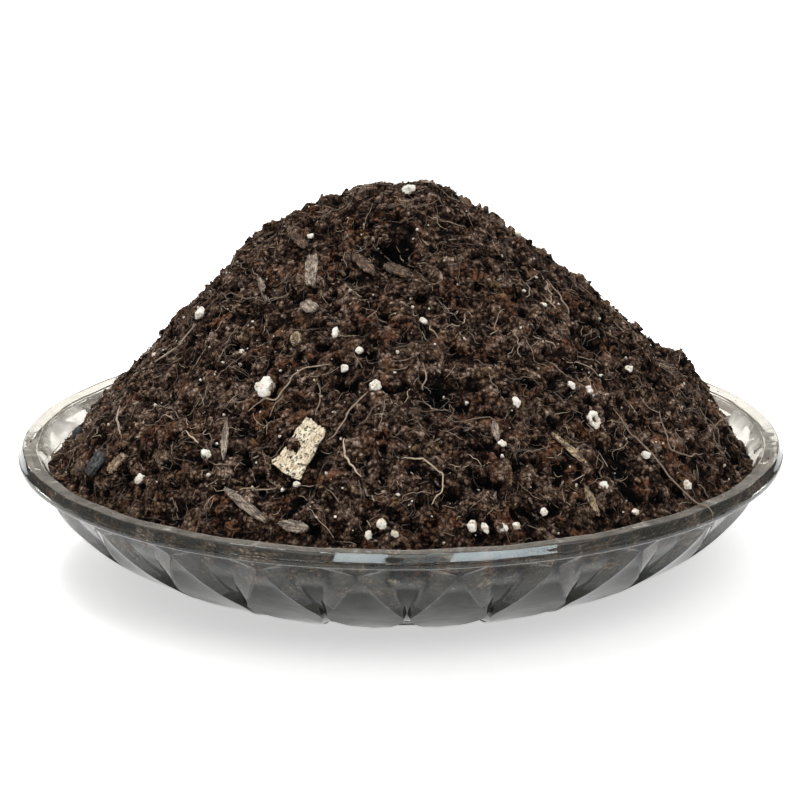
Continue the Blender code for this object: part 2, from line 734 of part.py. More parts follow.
def main():
    """Build the dish, the heap and what lies in it."""
    remove_everything()
    cutters = bpy.data.collections.new("pockets")
    bpy.context.scene.collection.children.link(cutters)
    glass = make_material("glass", (0.78, 0.80, 0.78), 0.05, transmission=1.0)
    soil = make_material("potting_mix", (0.050, 0.030, 0.022), 0.95)
    perlite = make_material("perlite", (0.80, 0.77, 0.70), 0.85)
    finishes = {
        "flake": make_material("pale_flake", (0.52, 0.42, 0.29), 0.80),
        "wood": make_material("grey_wood", (0.16, 0.13, 0.10), 0.85),
        "bark": make_material("bark", (0.11, 0.060, 0.035), 0.90),
        "straw": make_material("straw", (0.38, 0.28, 0.16), 0.80),
        "charcoal": make_material("charcoal", (0.022, 0.024, 0.024), 0.70),
        "root": make_material("root", (0.24, 0.15, 0.10), 0.75),
    }
    build_dish(glass)
    heap = build_heap(soil)
    surface = Surface(heap)
    build_grains(surface, perlite, cutters)
    build_chips(surface, finishes, cutters)
    build_roots(surface, finishes)
    cut_pockets(heap, cutters)


main()
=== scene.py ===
"""The looks of a pressed-glass dish heaped with moist potting mix.

Metres, +Z up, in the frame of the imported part: the origin is at the centre of the dish's
foot, on the surface that it stands on, and the front of the heap faces -Y. Bearings are in
degrees round +Z, from the front towards +X. A share of the slope runs from 0 in the middle
of the dish to 1 where the heap meets the glass.
"""

import logging
import math
from collections.abc import Callable
from dataclasses import dataclass, field
from enum import Enum

import bmesh
import bpy
import numpy as np
from mathutils import Matrix, Vector, noise
from mathutils.bvhtree import BVHTree


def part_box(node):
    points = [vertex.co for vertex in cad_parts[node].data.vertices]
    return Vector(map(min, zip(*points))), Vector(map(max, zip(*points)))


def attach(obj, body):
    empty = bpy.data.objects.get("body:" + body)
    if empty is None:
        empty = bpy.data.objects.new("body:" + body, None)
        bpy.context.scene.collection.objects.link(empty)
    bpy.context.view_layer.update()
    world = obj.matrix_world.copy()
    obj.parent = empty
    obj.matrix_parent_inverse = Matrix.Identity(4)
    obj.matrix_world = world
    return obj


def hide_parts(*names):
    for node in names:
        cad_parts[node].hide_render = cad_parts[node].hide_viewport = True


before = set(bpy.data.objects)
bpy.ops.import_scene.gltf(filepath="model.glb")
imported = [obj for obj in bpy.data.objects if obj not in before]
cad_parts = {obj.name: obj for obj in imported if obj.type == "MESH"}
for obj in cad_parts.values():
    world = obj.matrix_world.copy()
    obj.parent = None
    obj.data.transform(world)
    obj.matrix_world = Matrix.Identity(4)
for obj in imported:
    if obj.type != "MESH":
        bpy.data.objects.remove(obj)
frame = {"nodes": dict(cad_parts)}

log = logging.getLogger("dish")

Colour = tuple[float, float, float]
Route = tuple[tuple[float, float], ...]

BODY = "root"
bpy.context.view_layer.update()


class Slot(Enum):
    """The record's material slots."""

    GLASS = "glass"
    MIX = "potting_mix"
    PERLITE = "perlite"
    FLAKE = "flake"
    WOOD = "wood"
    BARK = "bark"
    STRAW = "straw"
    CHARCOAL = "charcoal"
    ROOT = "root"


def smooth_step(low: float, high: float, value: float | np.ndarray) -> float | np.ndarray:
    """Ease from 0 at low to 1 at high."""
    share = np.clip((value - low) / (high - low), 0.0, 1.0)
    return share * share * (3.0 - 2.0 * share)


def at_bearing(bearing: float, radius: float, height: float) -> Vector:
    """Return the point at a bearing, a radius and a height."""
    turn = math.radians(bearing)
    return Vector((radius * math.sin(turn), -radius * math.cos(turn), height))


def smooth_route(points: list[Vector], step: float) -> list[Vector]:
    """Return points about a step apart on a smooth curve through the given ones.

    Args:
        points: The points that the curve passes through.
        step: The distance between the returned points.

    Returns:
        The points of the curve, from the first to the last.
    """
    route = [points[0], *points, points[-1]]
    smooth = []
    for before, start, end, after in zip(route, route[1:], route[2:], route[3:]):
        count = max(round((end - start).length / step), 1)
        for index in range(count):
            share = index / count
            square = share * share
            cube = square * share
            smooth.append(
                0.5 * (2.0 * start + (end - before) * share
                       + (2.0 * before - 5.0 * start + 4.0 * end - after) * square
                       + (3.0 * start - before - 3.0 * end + after) * cube)
            )
    smooth.append(points[-1].copy())
    return smooth


def face_outwards(mesh: bpy.types.Mesh) -> None:
    """Turn a closed mesh's faces outwards, by the sign of its volume."""
    mesh.calc_loop_triangles()
    corners = np.empty(3 * len(mesh.loop_triangles), dtype=np.int32)
    mesh.loop_triangles.foreach_get("vertices", corners)
    places = np.empty(3 * len(mesh.vertices))
    mesh.vertices.foreach_get("co", places)
    one, other, last = places.reshape(-1, 3)[corners.reshape(-1, 3)].transpose(1, 0, 2)
    if np.einsum("ij,ij->i", one, np.cross(other, last)).sum() < 0.0:
        mesh.flip_normals()


def make_mesh(name: str, points: list | np.ndarray, faces: list, sharp: float | None = None) -> bpy.types.Mesh:
    """Return a closed, smooth-shaded mesh with its faces outwards.

    Args:
        name: The mesh's name.
        points: The places of its vertices.
        faces: The vertex numbers of each face.
        sharp: The angle in degrees from which an edge is sharp, or none.

    Returns:
        The mesh.
    """
    mesh = bpy.data.meshes.new(name)
    mesh.from_pydata(np.asarray(points, dtype=float).tolist(), [], faces)
    face_outwards(mesh)
    mesh.shade_smooth()
    if sharp is not None:
        mesh.set_sharp_from_angle(angle=math.radians(sharp))
    return mesh


def store(mesh: bpy.types.Mesh, name: str, values: np.ndarray) -> None:
    """Keep a number or a vector for each vertex of a mesh, for its finish to read."""
    values = np.asarray(values, dtype=np.float32)
    if values.ndim == 1:
        mesh.attributes.new(name, "FLOAT", "POINT").data.foreach_set("value", values)
    else:
        mesh.attributes.new(name, "FLOAT_VECTOR", "POINT").data.foreach_set("vector", values.ravel())


def add_piece(mesh: bpy.types.Mesh, material: bpy.types.Material | None, slot: Slot,
              *nodes: str) -> bpy.types.Object:
    """Put a mesh in the scene as a piece that rides on the part's one body.

    Args:
        mesh: The piece's mesh, in the part's frame.
        material: Its finish, or none where the mesh has it already.
        slot: The record's slot that the finish belongs to; not used.
        nodes: The solids that it stands for.

    Returns:
        The piece's object.
    """
    piece = bpy.data.objects.new(mesh.name, mesh)
    bpy.context.collection.objects.link(piece)
    if material is not None:
        mesh.materials.clear()
        mesh.materials.append(material)
    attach(piece, BODY)
    if nodes:
        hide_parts(*nodes)
    mesh.calc_loop_triangles()
    log.info("%s: %d triangles", piece.name, len(mesh.loop_triangles))
    return piece


def tube(points: list[Vector], girths: list[float], sides: int, start: int = 0) -> tuple[list, list]:
    """Return the vertices and faces of a closed tube.

    Args:
        points: The middle line.
        girths: The radius at each point.
        sides: The number of corners round it.
        start: The number of the first vertex.

    Returns:
        The vertices and the faces.
    """
    places = []
    faces = []
    last = len(points) - 1
    for index, (point, girth) in enumerate(zip(points, girths)):
        along = (points[min(index + 1, last)] - points[max(index - 1, 0)]).normalized()
        side = along.cross(Vector((0.0, 0.0, 1.0)))
        side = side.normalized() if side.length > 1e-6 else Vector((1.0, 0.0, 0.0))
        rise = side.cross(along)
        for corner in range(sides):
            turn = 2.0 * math.pi * corner / sides
            places.append(point + girth * (math.cos(turn) * side + math.sin(turn) * rise))
    for index in range(last):
        low = start + index * sides
        for corner in range(sides):
            after = (corner + 1) % sides
            faces.append((low + corner, low + after, low + sides + after, low + sides + corner))
    faces.append(tuple(start + corner for corner in reversed(range(sides))))
    faces.append(tuple(start + last * sides + corner for corner in range(sides)))
    return places, faces


def band(here: int, count: int, there: int, other: int) -> list[tuple[int, int, int]]:
    """Return the faces between two even rings.

    Args:
        here: The first vertex of one ring.
        count: The number of its vertices.
        there: The first vertex of the other ring.
        other: The number of the other ring's vertices.

    Returns:
        Triangles that all turn the same way.
    """
    faces = []
    one = 0
    two = 0
    while one < count or two < other:
        if two >= other or (one < count and (one + 1) * other <= (two + 1) * count):
            faces.append((here + one % count, here + (one + 1) % count, there + two % other))
            one += 1
        else:
            faces.append((here + one % count, there + (two + 1) % other, there + two % other))
            two += 1
    return faces


class NodeWriter:
    """Adds and links the nodes of one tree."""

    def __init__(self, tree: bpy.types.NodeTree) -> None:
        """Write into a tree."""
        self.tree = tree

    def node(self, kind: str, inputs: dict | None = None, **settings: object) -> bpy.types.Node:
        """Add a node.

        Args:
            kind: The node's type.
            inputs: A value or another node's output for each input, by name or number.
            settings: The node's own properties.

        Returns:
            The node.
        """
        made = self.tree.nodes.new(kind)
        for name, value in settings.items():
            setattr(made, name, value)
        for socket, value in (inputs or {}).items():
            self.put(made.inputs[socket], value)
        return made

    def put(self, socket: bpy.types.NodeSocket, value: object) -> None:
        """Link an output to an input, or set the input's value."""
        if isinstance(value, bpy.types.NodeSocket):
            self.tree.links.new(value, socket)
        else:
            socket.default_value = value

    def math(self, operation: str, one: object, other: object = 0.5, clamp: bool = False) -> bpy.types.NodeSocket:
        """Return the result of a sum on two numbers."""
        made = self.node("ShaderNodeMath", {0: one, 1: other}, operation=operation, use_clamp=clamp)
        return made.outputs[0]

    def vector(self, operation: str, one: object, other: object = (0.0, 0.0, 0.0)) -> bpy.types.NodeSocket:
        """Return the result of a sum on two vectors."""
        return self.node("ShaderNodeVectorMath", {0: one, 1: other}, operation=operation).outputs[0]

    def times(self, vector: object, factor: object) -> bpy.types.NodeSocket:
        """Return a vector times a number."""
        made = self.node("ShaderNodeVectorMath", {0: vector, "Scale": factor}, operation="SCALE")
        return made.outputs[0]

    def remap(self, value: object, low: float, high: float, least: float = 0.0,
              most: float = 1.0) -> bpy.types.NodeSocket:
        """Return a number moved from one range to another, smoothly and clamped."""
        inputs = {"Value": value, "From Min": low, "From Max": high, "To Min": least, "To Max": most}
        return self.node("ShaderNodeMapRange", inputs, interpolation_type="SMOOTHSTEP").outputs[0]

    def mix(self, factor: object, one: object, other: object, blend: str = "MIX") -> bpy.types.NodeSocket:
        """Return a mix of two colours."""
        inputs = {0: factor, 6: rgba(one), 7: rgba(other)}
        made = self.node("ShaderNodeMix", inputs, data_type="RGBA", blend_type=blend)
        return made.outputs[2]

    def ramp(self, value: object, stops: list[tuple[float, Colour]]) -> bpy.types.NodeSocket:
        """Return a colour from a ramp of places and colours."""
        made = self.node("ShaderNodeValToRGB", {0: value})
        points = made.color_ramp.elements
        while len(points) < len(stops):
            points.new(1.0)
        for point, (place, colour) in zip(points, stops):
            point.position = place
            point.color = (*colour, 1.0)
        return made.outputs[0]

    def noise(self, place: object, size: float, detail: float = 3.0, rough: float = 0.55,
              warp: float = 0.0) -> bpy.types.NodeSocket:
        """Return noise from 0 to 1 whose features are about a size across."""
        inputs = {"Vector": place, "Scale": 1.0 / size, "Detail": detail, "Roughness": rough,
                  "Distortion": warp}
        return self.node("ShaderNodeTexNoise", inputs).outputs[0]

    def cells(self, place: object, size: float) -> bpy.types.NodeSocket:
        """Return the distance to the nearest of scattered points a size apart."""
        inputs = {"Vector": place, "Scale": 1.0 / size}
        return self.node("ShaderNodeTexVoronoi", inputs).outputs["Distance"]

    def read(self, name: str) -> bpy.types.Node:
        """Return the node that reads a piece's stored attribute."""
        return self.node("ShaderNodeAttribute", attribute_name=name)

    def place(self) -> bpy.types.NodeSocket:
        """Return the place on the piece."""
        return self.node("ShaderNodeTexCoord").outputs["Object"]

    def bump(self, height: object, depth: float, strength: float = 1.0) -> bpy.types.NodeSocket:
        """Return a normal roughened by a height from 0 to 1 and a depth."""
        inputs = {"Height": height, "Distance": depth, "Strength": strength}
        return self.node("ShaderNodeBump", inputs).outputs[0]


def rgba(colour: object) -> object:
    """Return a colour with its alpha, or an output as it is."""
    return (*colour, 1.0) if isinstance(colour, tuple) and len(colour) == 3 else colour


def start_material(name: str) -> tuple[bpy.types.Material, NodeWriter, bpy.types.Node]:
    """Return a new material, the writer of its nodes and its Principled shader."""
    material = bpy.data.materials.new(name)
    material.use_nodes = True
    writer = NodeWriter(material.node_tree)
    return material, writer, material.node_tree.nodes["Principled BSDF"]


@dataclass(frozen=True)
class GlassFinish:
    """Clear pressed glass with a smoky tint and a fire-polished skin, under a film that is partly soil dust and partly
    painted light: painted shade, painted highlights and painted reflections.
    """

    tint: Colour = (0.70, 0.71, 0.65)
    painted_wall_shade: Colour = (0.026, 0.027, 0.021)
    shine: Colour = (0.45, 0.50, 0.51)
    tan_dust_and_painted_reflection: Colour = (0.62, 0.57, 0.50)
    pale_painted_light: Colour = (0.88, 0.84, 0.77)
    index: float = 1.46
    roughness: float = 0.03
    ripple_size: float = 0.0060
    ripple_depth: float = 0.00010

    def material(self) -> bpy.types.Material:
        """Return the glass, which reads how thick the film of dust and painted light lies on each place; below zero it
        is painted shade.
        """
        material, writer, shader = start_material("pressed_glass")
        place = writer.place()
        ripple = writer.noise(place, self.ripple_size, 2.0)
        film = writer.read("film").outputs["Fac"]
        # Tan for soil dust and the painted reflections, pale for the painted light and highlights.
        dust_and_painted_light_colour = writer.mix(writer.remap(film, 0.22, 0.36), self.tan_dust_and_painted_reflection, self.pale_painted_light)
        colour = writer.mix(writer.remap(film, 0.02, 0.14), self.tint, dust_and_painted_light_colour)
        # Painted shade: where the film is below zero the glass turns dark.
        colour = writer.mix(writer.remap(film, -0.02, -0.30), colour, self.painted_wall_shade)
        uneven = writer.remap(writer.noise(place, 0.0045, 3.0), 0.30, 0.70, 0.75, 1.25)
        # Dust and painted light alike take away the glass's clearness.
        cover = writer.math("ABSOLUTE", film)
        clear = writer.math("SUBTRACT", 1.0, writer.math("MULTIPLY", cover, uneven))
        writer.put(shader.inputs["Base Color"], colour)
        writer.put(shader.inputs["Transmission Weight"], clear)
        writer.put(shader.inputs["IOR"], self.index)
        writer.put(shader.inputs["Specular IOR Level"], 0.12)
        writer.put(shader.inputs["Specular Tint"], rgba(self.shine))
        writer.put(shader.inputs["Roughness"], self.roughness)
        writer.put(shader.inputs["Normal"], writer.bump(ripple, self.ripple_depth, 0.6))
        return material


@dataclass(frozen=True)
class MixFinish:
    """Moist peat and bark compost: brown crumbs and rusty patches, with black gaps of painted shade and greyish tops of
    painted highlight.
    """

    # The gap colour is painted shade between the crumbs; the pale colour is partly a painted highlight on their tops.
    gap: Colour = (0.0005, 0.0002, 0.0001)
    dark: Colour = (0.0062, 0.0024, 0.0011)
    middle: Colour = (0.0460, 0.0265, 0.0170)
    light: Colour = (0.1600, 0.1080, 0.0780)
    pale: Colour = (0.4600, 0.3650, 0.2900)
    rust: Colour = (0.1300, 0.0500, 0.0220)
    ochre: Colour = (0.1800, 0.1150, 0.0500)
    crumb: float = 0.00085
    warp: float = 0.0008
    patch: float = 0.0085
    relief: float = 0.00050

    def material(self) -> bpy.types.Material:
        """Return the mix, which reads each crumb's tone, and how open its place is for its painted shade and light."""
        material, writer, shader = start_material("potting_mix")
        place = writer.place()
        stir = writer.node("ShaderNodeTexNoise", {"Vector": place, "Scale": 1.0 / self.crumb, "Detail": 2.0})
        stirred = writer.vector("ADD", place, writer.times(stir.outputs[1], self.warp))
        cells = writer.node("ShaderNodeTexVoronoi", {"Vector": stirred, "Scale": 1.0 / self.crumb})
        # Painted shading of round crumbs: each is lighter in its middle and darker at its edges.
        dome = writer.remap(cells.outputs["Distance"], 0.78, 0.12)
        shade = writer.node("ShaderNodeSeparateColor", {0: cells.outputs["Color"]}).outputs[0]
        grit = writer.noise(place, 0.35 * self.crumb, 4.0, 0.65)
        tone = writer.read("tone").outputs["Fac"]
        painted_shade_openness = writer.read("open").outputs["Fac"]
        # How open a place is lightens its colour, as do the crumbs' middles: painted light.
        value = writer.math("MULTIPLY_ADD", dome, 0.17)
        value.node.inputs[2].default_value = -0.46
        for part, weight in ((shade, 0.34), (grit, 0.62), (tone, 0.28), (painted_shade_openness, 0.50)):
            value = writer.math("ADD", value, writer.math("MULTIPLY", part, weight))
        stops = [(0.24, self.gap), (0.40, self.dark), (0.57, self.middle), (0.74, self.light), (0.93, self.pale)]
        colour = writer.ramp(value, stops)
        rusty = writer.remap(writer.noise(place, self.patch, 3.0, 0.6), 0.52, 0.68, 0.0, 0.75)
        rusty = writer.math("MULTIPLY", rusty, writer.remap(value, 0.30, 0.70))
        colour = writer.mix(rusty, colour, self.rust)
        shifted = writer.vector("ADD", place, (0.31, 0.17, 0.05))
        sallow = writer.remap(writer.noise(shifted, 0.6 * self.patch, 3.0, 0.6), 0.56, 0.70, 0.0, 0.7)
        sallow = writer.math("MULTIPLY", sallow, writer.remap(value, 0.40, 0.80))
        colour = writer.mix(sallow, colour, self.ochre)
        # Painted shade: near black where the place is closed in.
        colour = writer.mix(writer.remap(painted_shade_openness, 0.22, 0.02, 0.0, 0.95), colour, self.gap)
        height = writer.math("ADD", writer.math("MULTIPLY", dome, 0.6), writer.math("MULTIPLY", grit, 0.9))
        writer.put(shader.inputs["Base Color"], colour)
        writer.put(shader.inputs["Roughness"], writer.remap(grit, 0.35, 0.65, 0.50, 0.90))
        writer.put(shader.inputs["Specular IOR Level"], 0.03)
        writer.put(shader.inputs["Normal"], writer.bump(height, self.relief, 0.9))
        return material


@dataclass(frozen=True)
class PerliteFinish:
    """Popped volcanic glass: off-white and porous, pitted, stained where it is buried."""

    white: Colour = (0.80, 0.77, 0.70)
    cream: Colour = (0.62, 0.53, 0.40)
    stain: Colour = (0.30, 0.20, 0.12)
    soil: Colour = (0.030, 0.019, 0.013)
    pore: float = 0.00065

    def material(self) -> bpy.types.Material:
        """Return the perlite, which reads how deep each place is buried."""
        material, writer, shader = start_material("perlite")
        place = writer.place()
        buried = writer.read("buried").outputs["Fac"]
        cloud = writer.noise(place, 0.0018, 3.0)
        colour = writer.mix(writer.remap(cloud, 0.40, 0.75), self.white, self.cream)
        low = writer.math("ADD", buried, writer.math("MULTIPLY", cloud, 0.5))
        colour = writer.mix(writer.remap(low, 0.62, 1.05, 0.0, 0.85), colour, self.stain)
        dust = writer.noise(place, self.pore, 3.0, 0.6)
        dirt = writer.math("ADD", dust, writer.math("MULTIPLY", buried, 0.22))
        colour = writer.mix(writer.remap(dirt, 0.66, 0.74, 0.0, 0.92), colour, self.soil)
        pores = writer.cells(place, self.pore)
        hollow = writer.math("MULTIPLY", writer.remap(pores, 0.34, 0.16), writer.remap(cloud, 0.38, 0.56))
        colour = writer.mix(writer.math("MULTIPLY", hollow, 0.85), colour, self.stain)
        height = writer.math("ADD", pores, writer.noise(place, 0.4 * self.pore, 3.0))
        writer.put(shader.inputs["Base Color"], colour)
        writer.put(shader.inputs["Roughness"], 0.85)
        writer.put(shader.inputs["Specular IOR Level"], 0.3)
        writer.put(shader.inputs["Subsurface Weight"], 0.12)
        writer.put(shader.inputs["Subsurface Scale"], 0.0008)
        writer.put(shader.inputs["Normal"], writer.bump(height, 0.00034, 0.95))
        return material


@dataclass(frozen=True)
class WoodFinish:
    """Plant matter with a grain along the piece, speckled with clinging soil."""

    name: str
    dark: Colour
    middle: Colour
    pale: Colour
    soil: Colour = (0.022, 0.014, 0.010)
    streak: float = 0.00035
    stretch: float = 9.0
    soiling: float = 0.60
    speck: float = 0.00075
    roughness: float = 0.80
    relief: float = 0.00032

    def material(self) -> bpy.types.Material:
        """Return the finish, which reads the piece's own axes for its grain."""
        material, writer, shader = start_material(self.name)
        axes = writer.read("axes").outputs["Vector"]
        place = writer.place()
        squeezed = writer.vector("MULTIPLY", axes, (1.0 / self.stretch, 1.0, 1.0))
        grain = writer.noise(squeezed, self.streak, 4.0, 0.6, 0.3)
        cloud = writer.noise(place, 0.0016, 3.0)
        value = writer.math("ADD", writer.math("MULTIPLY", grain, 0.65), writer.math("MULTIPLY", cloud, 0.35))
        colour = writer.ramp(value, [(0.40, self.dark), (0.50, self.middle), (0.61, self.pale)])
        dust = writer.noise(place, self.speck, 3.0, 0.6)
        colour = writer.mix(writer.remap(dust, self.soiling, self.soiling + 0.07, 0.0, 0.9), colour, self.soil)
        specks = writer.remap(writer.cells(place, 0.9 * self.speck), 0.30, 0.20)
        specks = writer.math("MULTIPLY", specks, writer.remap(cloud, 0.44, 0.54, 0.0, 0.9))
        colour = writer.mix(specks, colour, self.soil)
        height = writer.math("ADD", grain, writer.math("MULTIPLY", dust, 0.5))
        height = writer.math("SUBTRACT", height, writer.math("MULTIPLY", specks, 0.6))
        writer.put(shader.inputs["Base Color"], colour)
        writer.put(shader.inputs["Roughness"], self.roughness)
        writer.put(shader.inputs["Specular IOR Level"], 0.35)
        writer.put(shader.inputs["Normal"], writer.bump(height, self.relief, 0.9))
        return material


@dataclass(frozen=True)
class FibreFinish:
    """Fine roots and hairs, from dark brown to pale straw, by each one's tone."""

    stops: tuple[tuple[float, Colour], ...] = (
        (0.00, (0.030, 0.017, 0.011)),
        (0.45, (0.085, 0.052, 0.034)),
        (0.75, (0.190, 0.135, 0.095)),
        (1.00, (0.420, 0.330, 0.230)),
    )

    def material(self) -> bpy.types.Material:
        """Return the finish, which reads each fibre's tone."""
        material, writer, shader = start_material("fine_root")
        place = writer.place()
        tone = writer.read("tone").outputs["Fac"]
        blotch = writer.noise(place, 0.0011, 3.0)
        value = writer.math("ADD", tone, writer.math("MULTIPLY", writer.math("SUBTRACT", blotch, 0.5), 0.5))
        writer.put(shader.inputs["Base Color"], writer.ramp(value, list(self.stops)))
        writer.put(shader.inputs["Roughness"], 0.72)
        writer.put(shader.inputs["Specular IOR Level"], 0.4)
        writer.put(shader.inputs["Normal"], writer.bump(writer.noise(place, 0.0003, 2.0), 0.00006, 0.7))
        return material


@dataclass(frozen=True)
class FloorFinish:
    """A bright, evenly lit white table."""

    white: Colour = (0.93, 0.93, 0.93)
    glow: float = 0.62

    def material(self) -> bpy.types.Material:
        """Return the table's white."""
        material, writer, shader = start_material("white_table")
        writer.put(shader.inputs["Base Color"], rgba(self.white))
        writer.put(shader.inputs["Roughness"], 0.9)
        writer.put(shader.inputs["Specular IOR Level"], 0.0)
        writer.put(shader.inputs["Emission Color"], rgba(self.white))
        writer.put(shader.inputs["Emission Strength"], self.glow)
        return material


BARK = WoodFinish("bark", (0.013, 0.006, 0.003), (0.078, 0.039, 0.019), (0.250, 0.150, 0.080), soiling=0.50,
                  relief=0.00045)
GREY_WOOD = WoodFinish("grey_wood", (0.040, 0.029, 0.021), (0.170, 0.130, 0.095), (0.380, 0.310, 0.240),
                       soiling=0.56)
STRAW = WoodFinish("straw", (0.065, 0.040, 0.018), (0.260, 0.180, 0.095), (0.560, 0.430, 0.260),
                   soiling=0.52, streak=0.00026, relief=0.00042)
FLAKE = WoodFinish("pale_flake", (0.300, 0.220, 0.130), (0.540, 0.450, 0.310), (0.740, 0.680, 0.540),
                   soiling=0.53, speck=0.00085, stretch=3.0, relief=0.00022)
CHARCOAL = WoodFinish("charcoal", (0.004, 0.004, 0.004), (0.012, 0.013, 0.012), (0.042, 0.046, 0.042),
                      soiling=0.57, roughness=0.38, streak=0.0007, stretch=3.0, relief=0.00070)


class HeapSurface:
    """The top of the frame's heap, without the pockets under what lies on it."""

    def __init__(self, heap: bpy.types.Object, chips: list[bpy.types.Object], grains: list[bpy.types.Object],
                 cell: float = 0.0005, margin: float = 0.0010, softness: float = 0.0007, bank: float = 0.0008) -> None:
        """Sample the heap from above on a square grid.

        Args:
            heap: The heap's solid.
            chips: The flat solids that lie in its pockets.
            grains: The round solids that lie in its pockets.
            cell: The grid's pitch.
            margin: How far a pocket reaches past what lies in it.
            softness: The spread of the blur that takes off the solid's facets.
            bank: How high the mix is banked up round a grain.
        """
        low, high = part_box(heap.name)
        self.cell = cell
        self.top = high.z
        self.reach = high.x + 8.0 * cell
        self.count = int(2.0 * self.reach / cell) + 1
        solid = self._tree([heap])
        heights, known, under_grains = self._cast(solid, self._tree(grains), margin)
        _, clear, under_chips = self._cast(solid, self._tree(chips), margin)
        known &= clear
        gaps = ~known
        self._spread(heights, known)
        for _ in range(260):
            heights[gaps] = 0.25 * self._around(heights)[gaps]
        banks = bank * self._blur(under_grains.astype(float), 2.2)
        self.heights = self._blur(heights, softness / cell) + banks
        self.cover = self._blur(under_chips.astype(float), 1.2)

    @staticmethod
    def _tree(things: list[bpy.types.Object]) -> BVHTree:
        """Return a search tree over some objects' faces."""
        points = []
        faces = []
        for thing in things:
            start = len(points)
            points.extend(vertex.co.copy() for vertex in thing.data.vertices)
            faces.extend([start + corner for corner in face.vertices] for face in thing.data.polygons)
        return BVHTree.FromPolygons(points, faces)

    def _cast(self, heap: BVHTree, lying: BVHTree, margin: float) -> tuple[np.ndarray, np.ndarray, np.ndarray]:
        """Return each cell's height, which cells show the heap itself, and which lie under a solid."""
        heights = np.zeros((self.count, self.count))
        known = np.zeros((self.count, self.count), dtype=bool)
        covered = np.zeros((self.count, self.count), dtype=bool)
        down = Vector((0.0, 0.0, -1.0))
        above = self.top + 0.02
        for row in range(self.count):
            for column in range(self.count):
                start = Vector((column * self.cell - self.reach, row * self.cell - self.reach, above))
                if start.xy.length > self.reach:
                    continue
                spot = heap.ray_cast(start, down)[0]
                if spot is None:
                    continue
                heights[row, column] = spot.z
                known[row, column] = True
                covered[row, column] = lying.ray_cast(start, down)[0] is not None
        wider = covered.copy()
        for _ in range(round(margin / self.cell)):
            wider |= self._around(wider.astype(float)) > 0.0
        return heights, known & ~wider, covered

    @staticmethod
    def _around(grid: np.ndarray) -> np.ndarray:
        """Return the sum of each cell's four neighbours."""
        return np.roll(grid, 1, 0) + np.roll(grid, -1, 0) + np.roll(grid, 1, 1) + np.roll(grid, -1, 1)

    def _spread(self, heights: np.ndarray, known: np.ndarray) -> None:
        """Grow the known heights into the cells that have none."""
        for _ in range(30):
            weight = self._around(known.astype(float))
            total = self._around(np.where(known, heights, 0.0))
            fresh = ~known & (weight > 0.0)
            heights[fresh] = total[fresh] / weight[fresh]
            known |= fresh

    @staticmethod
    def _blur(grid: np.ndarray, spread: float) -> np.ndarray:
        """Return the grid blurred by a bell curve."""
        reach = math.ceil(2.5 * spread)
        for axis in (0, 1):
            total = np.zeros_like(grid)
            weights = 0.0
            for shift in range(-reach, reach + 1):
                weight = math.exp(-0.5 * (shift / spread) ** 2)
                total += weight * np.roll(grid, shift, axis)
                weights += weight
            grid = total / weights
        return grid

    def heights_at(self, x: np.ndarray, y: np.ndarray) -> np.ndarray:
        """Return the surface's heights at plan points."""
        return self._read(self.heights, x, y)

    def cover_at(self, x: np.ndarray, y: np.ndarray) -> np.ndarray:
        """Return how far plan points lie under a chip, from 0 to 1."""
        return self._read(self.cover, x, y)

    def _read(self, grid: np.ndarray, x: np.ndarray, y: np.ndarray) -> np.ndarray:
        """Return a grid's values between its cells."""
        across = np.clip((x + self.reach) / self.cell, 0.0, self.count - 1.001)
        along = np.clip((y + self.reach) / self.cell, 0.0, self.count - 1.001)
        column = across.astype(int)
        row = along.astype(int)
        right = across - column
        ahead = along - row
        near = grid[row, column] * (1.0 - right) + grid[row, column + 1] * right
        far = grid[row + 1, column] * (1.0 - right) + grid[row + 1, column + 1] * right
        return near * (1.0 - ahead) + far * ahead

    def height(self, x: float, y: float) -> float:
        """Return the surface's height at one plan point."""
        return float(self.heights_at(np.array([x]), np.array([y]))[0])

    def normals_at(self, x: np.ndarray, y: np.ndarray) -> np.ndarray:
        """Return the surface's normals at plan points."""
        step = 2.0 * self.cell
        slope_x = (self.heights_at(x + step, y) - self.heights_at(x - step, y)) / (2.0 * step)
        slope_y = (self.heights_at(x, y + step) - self.heights_at(x, y - step)) / (2.0 * step)
        normals = np.stack([-slope_x, -slope_y, np.ones_like(slope_x)], axis=1)
        return normals / np.linalg.norm(normals, axis=1)[:, None]


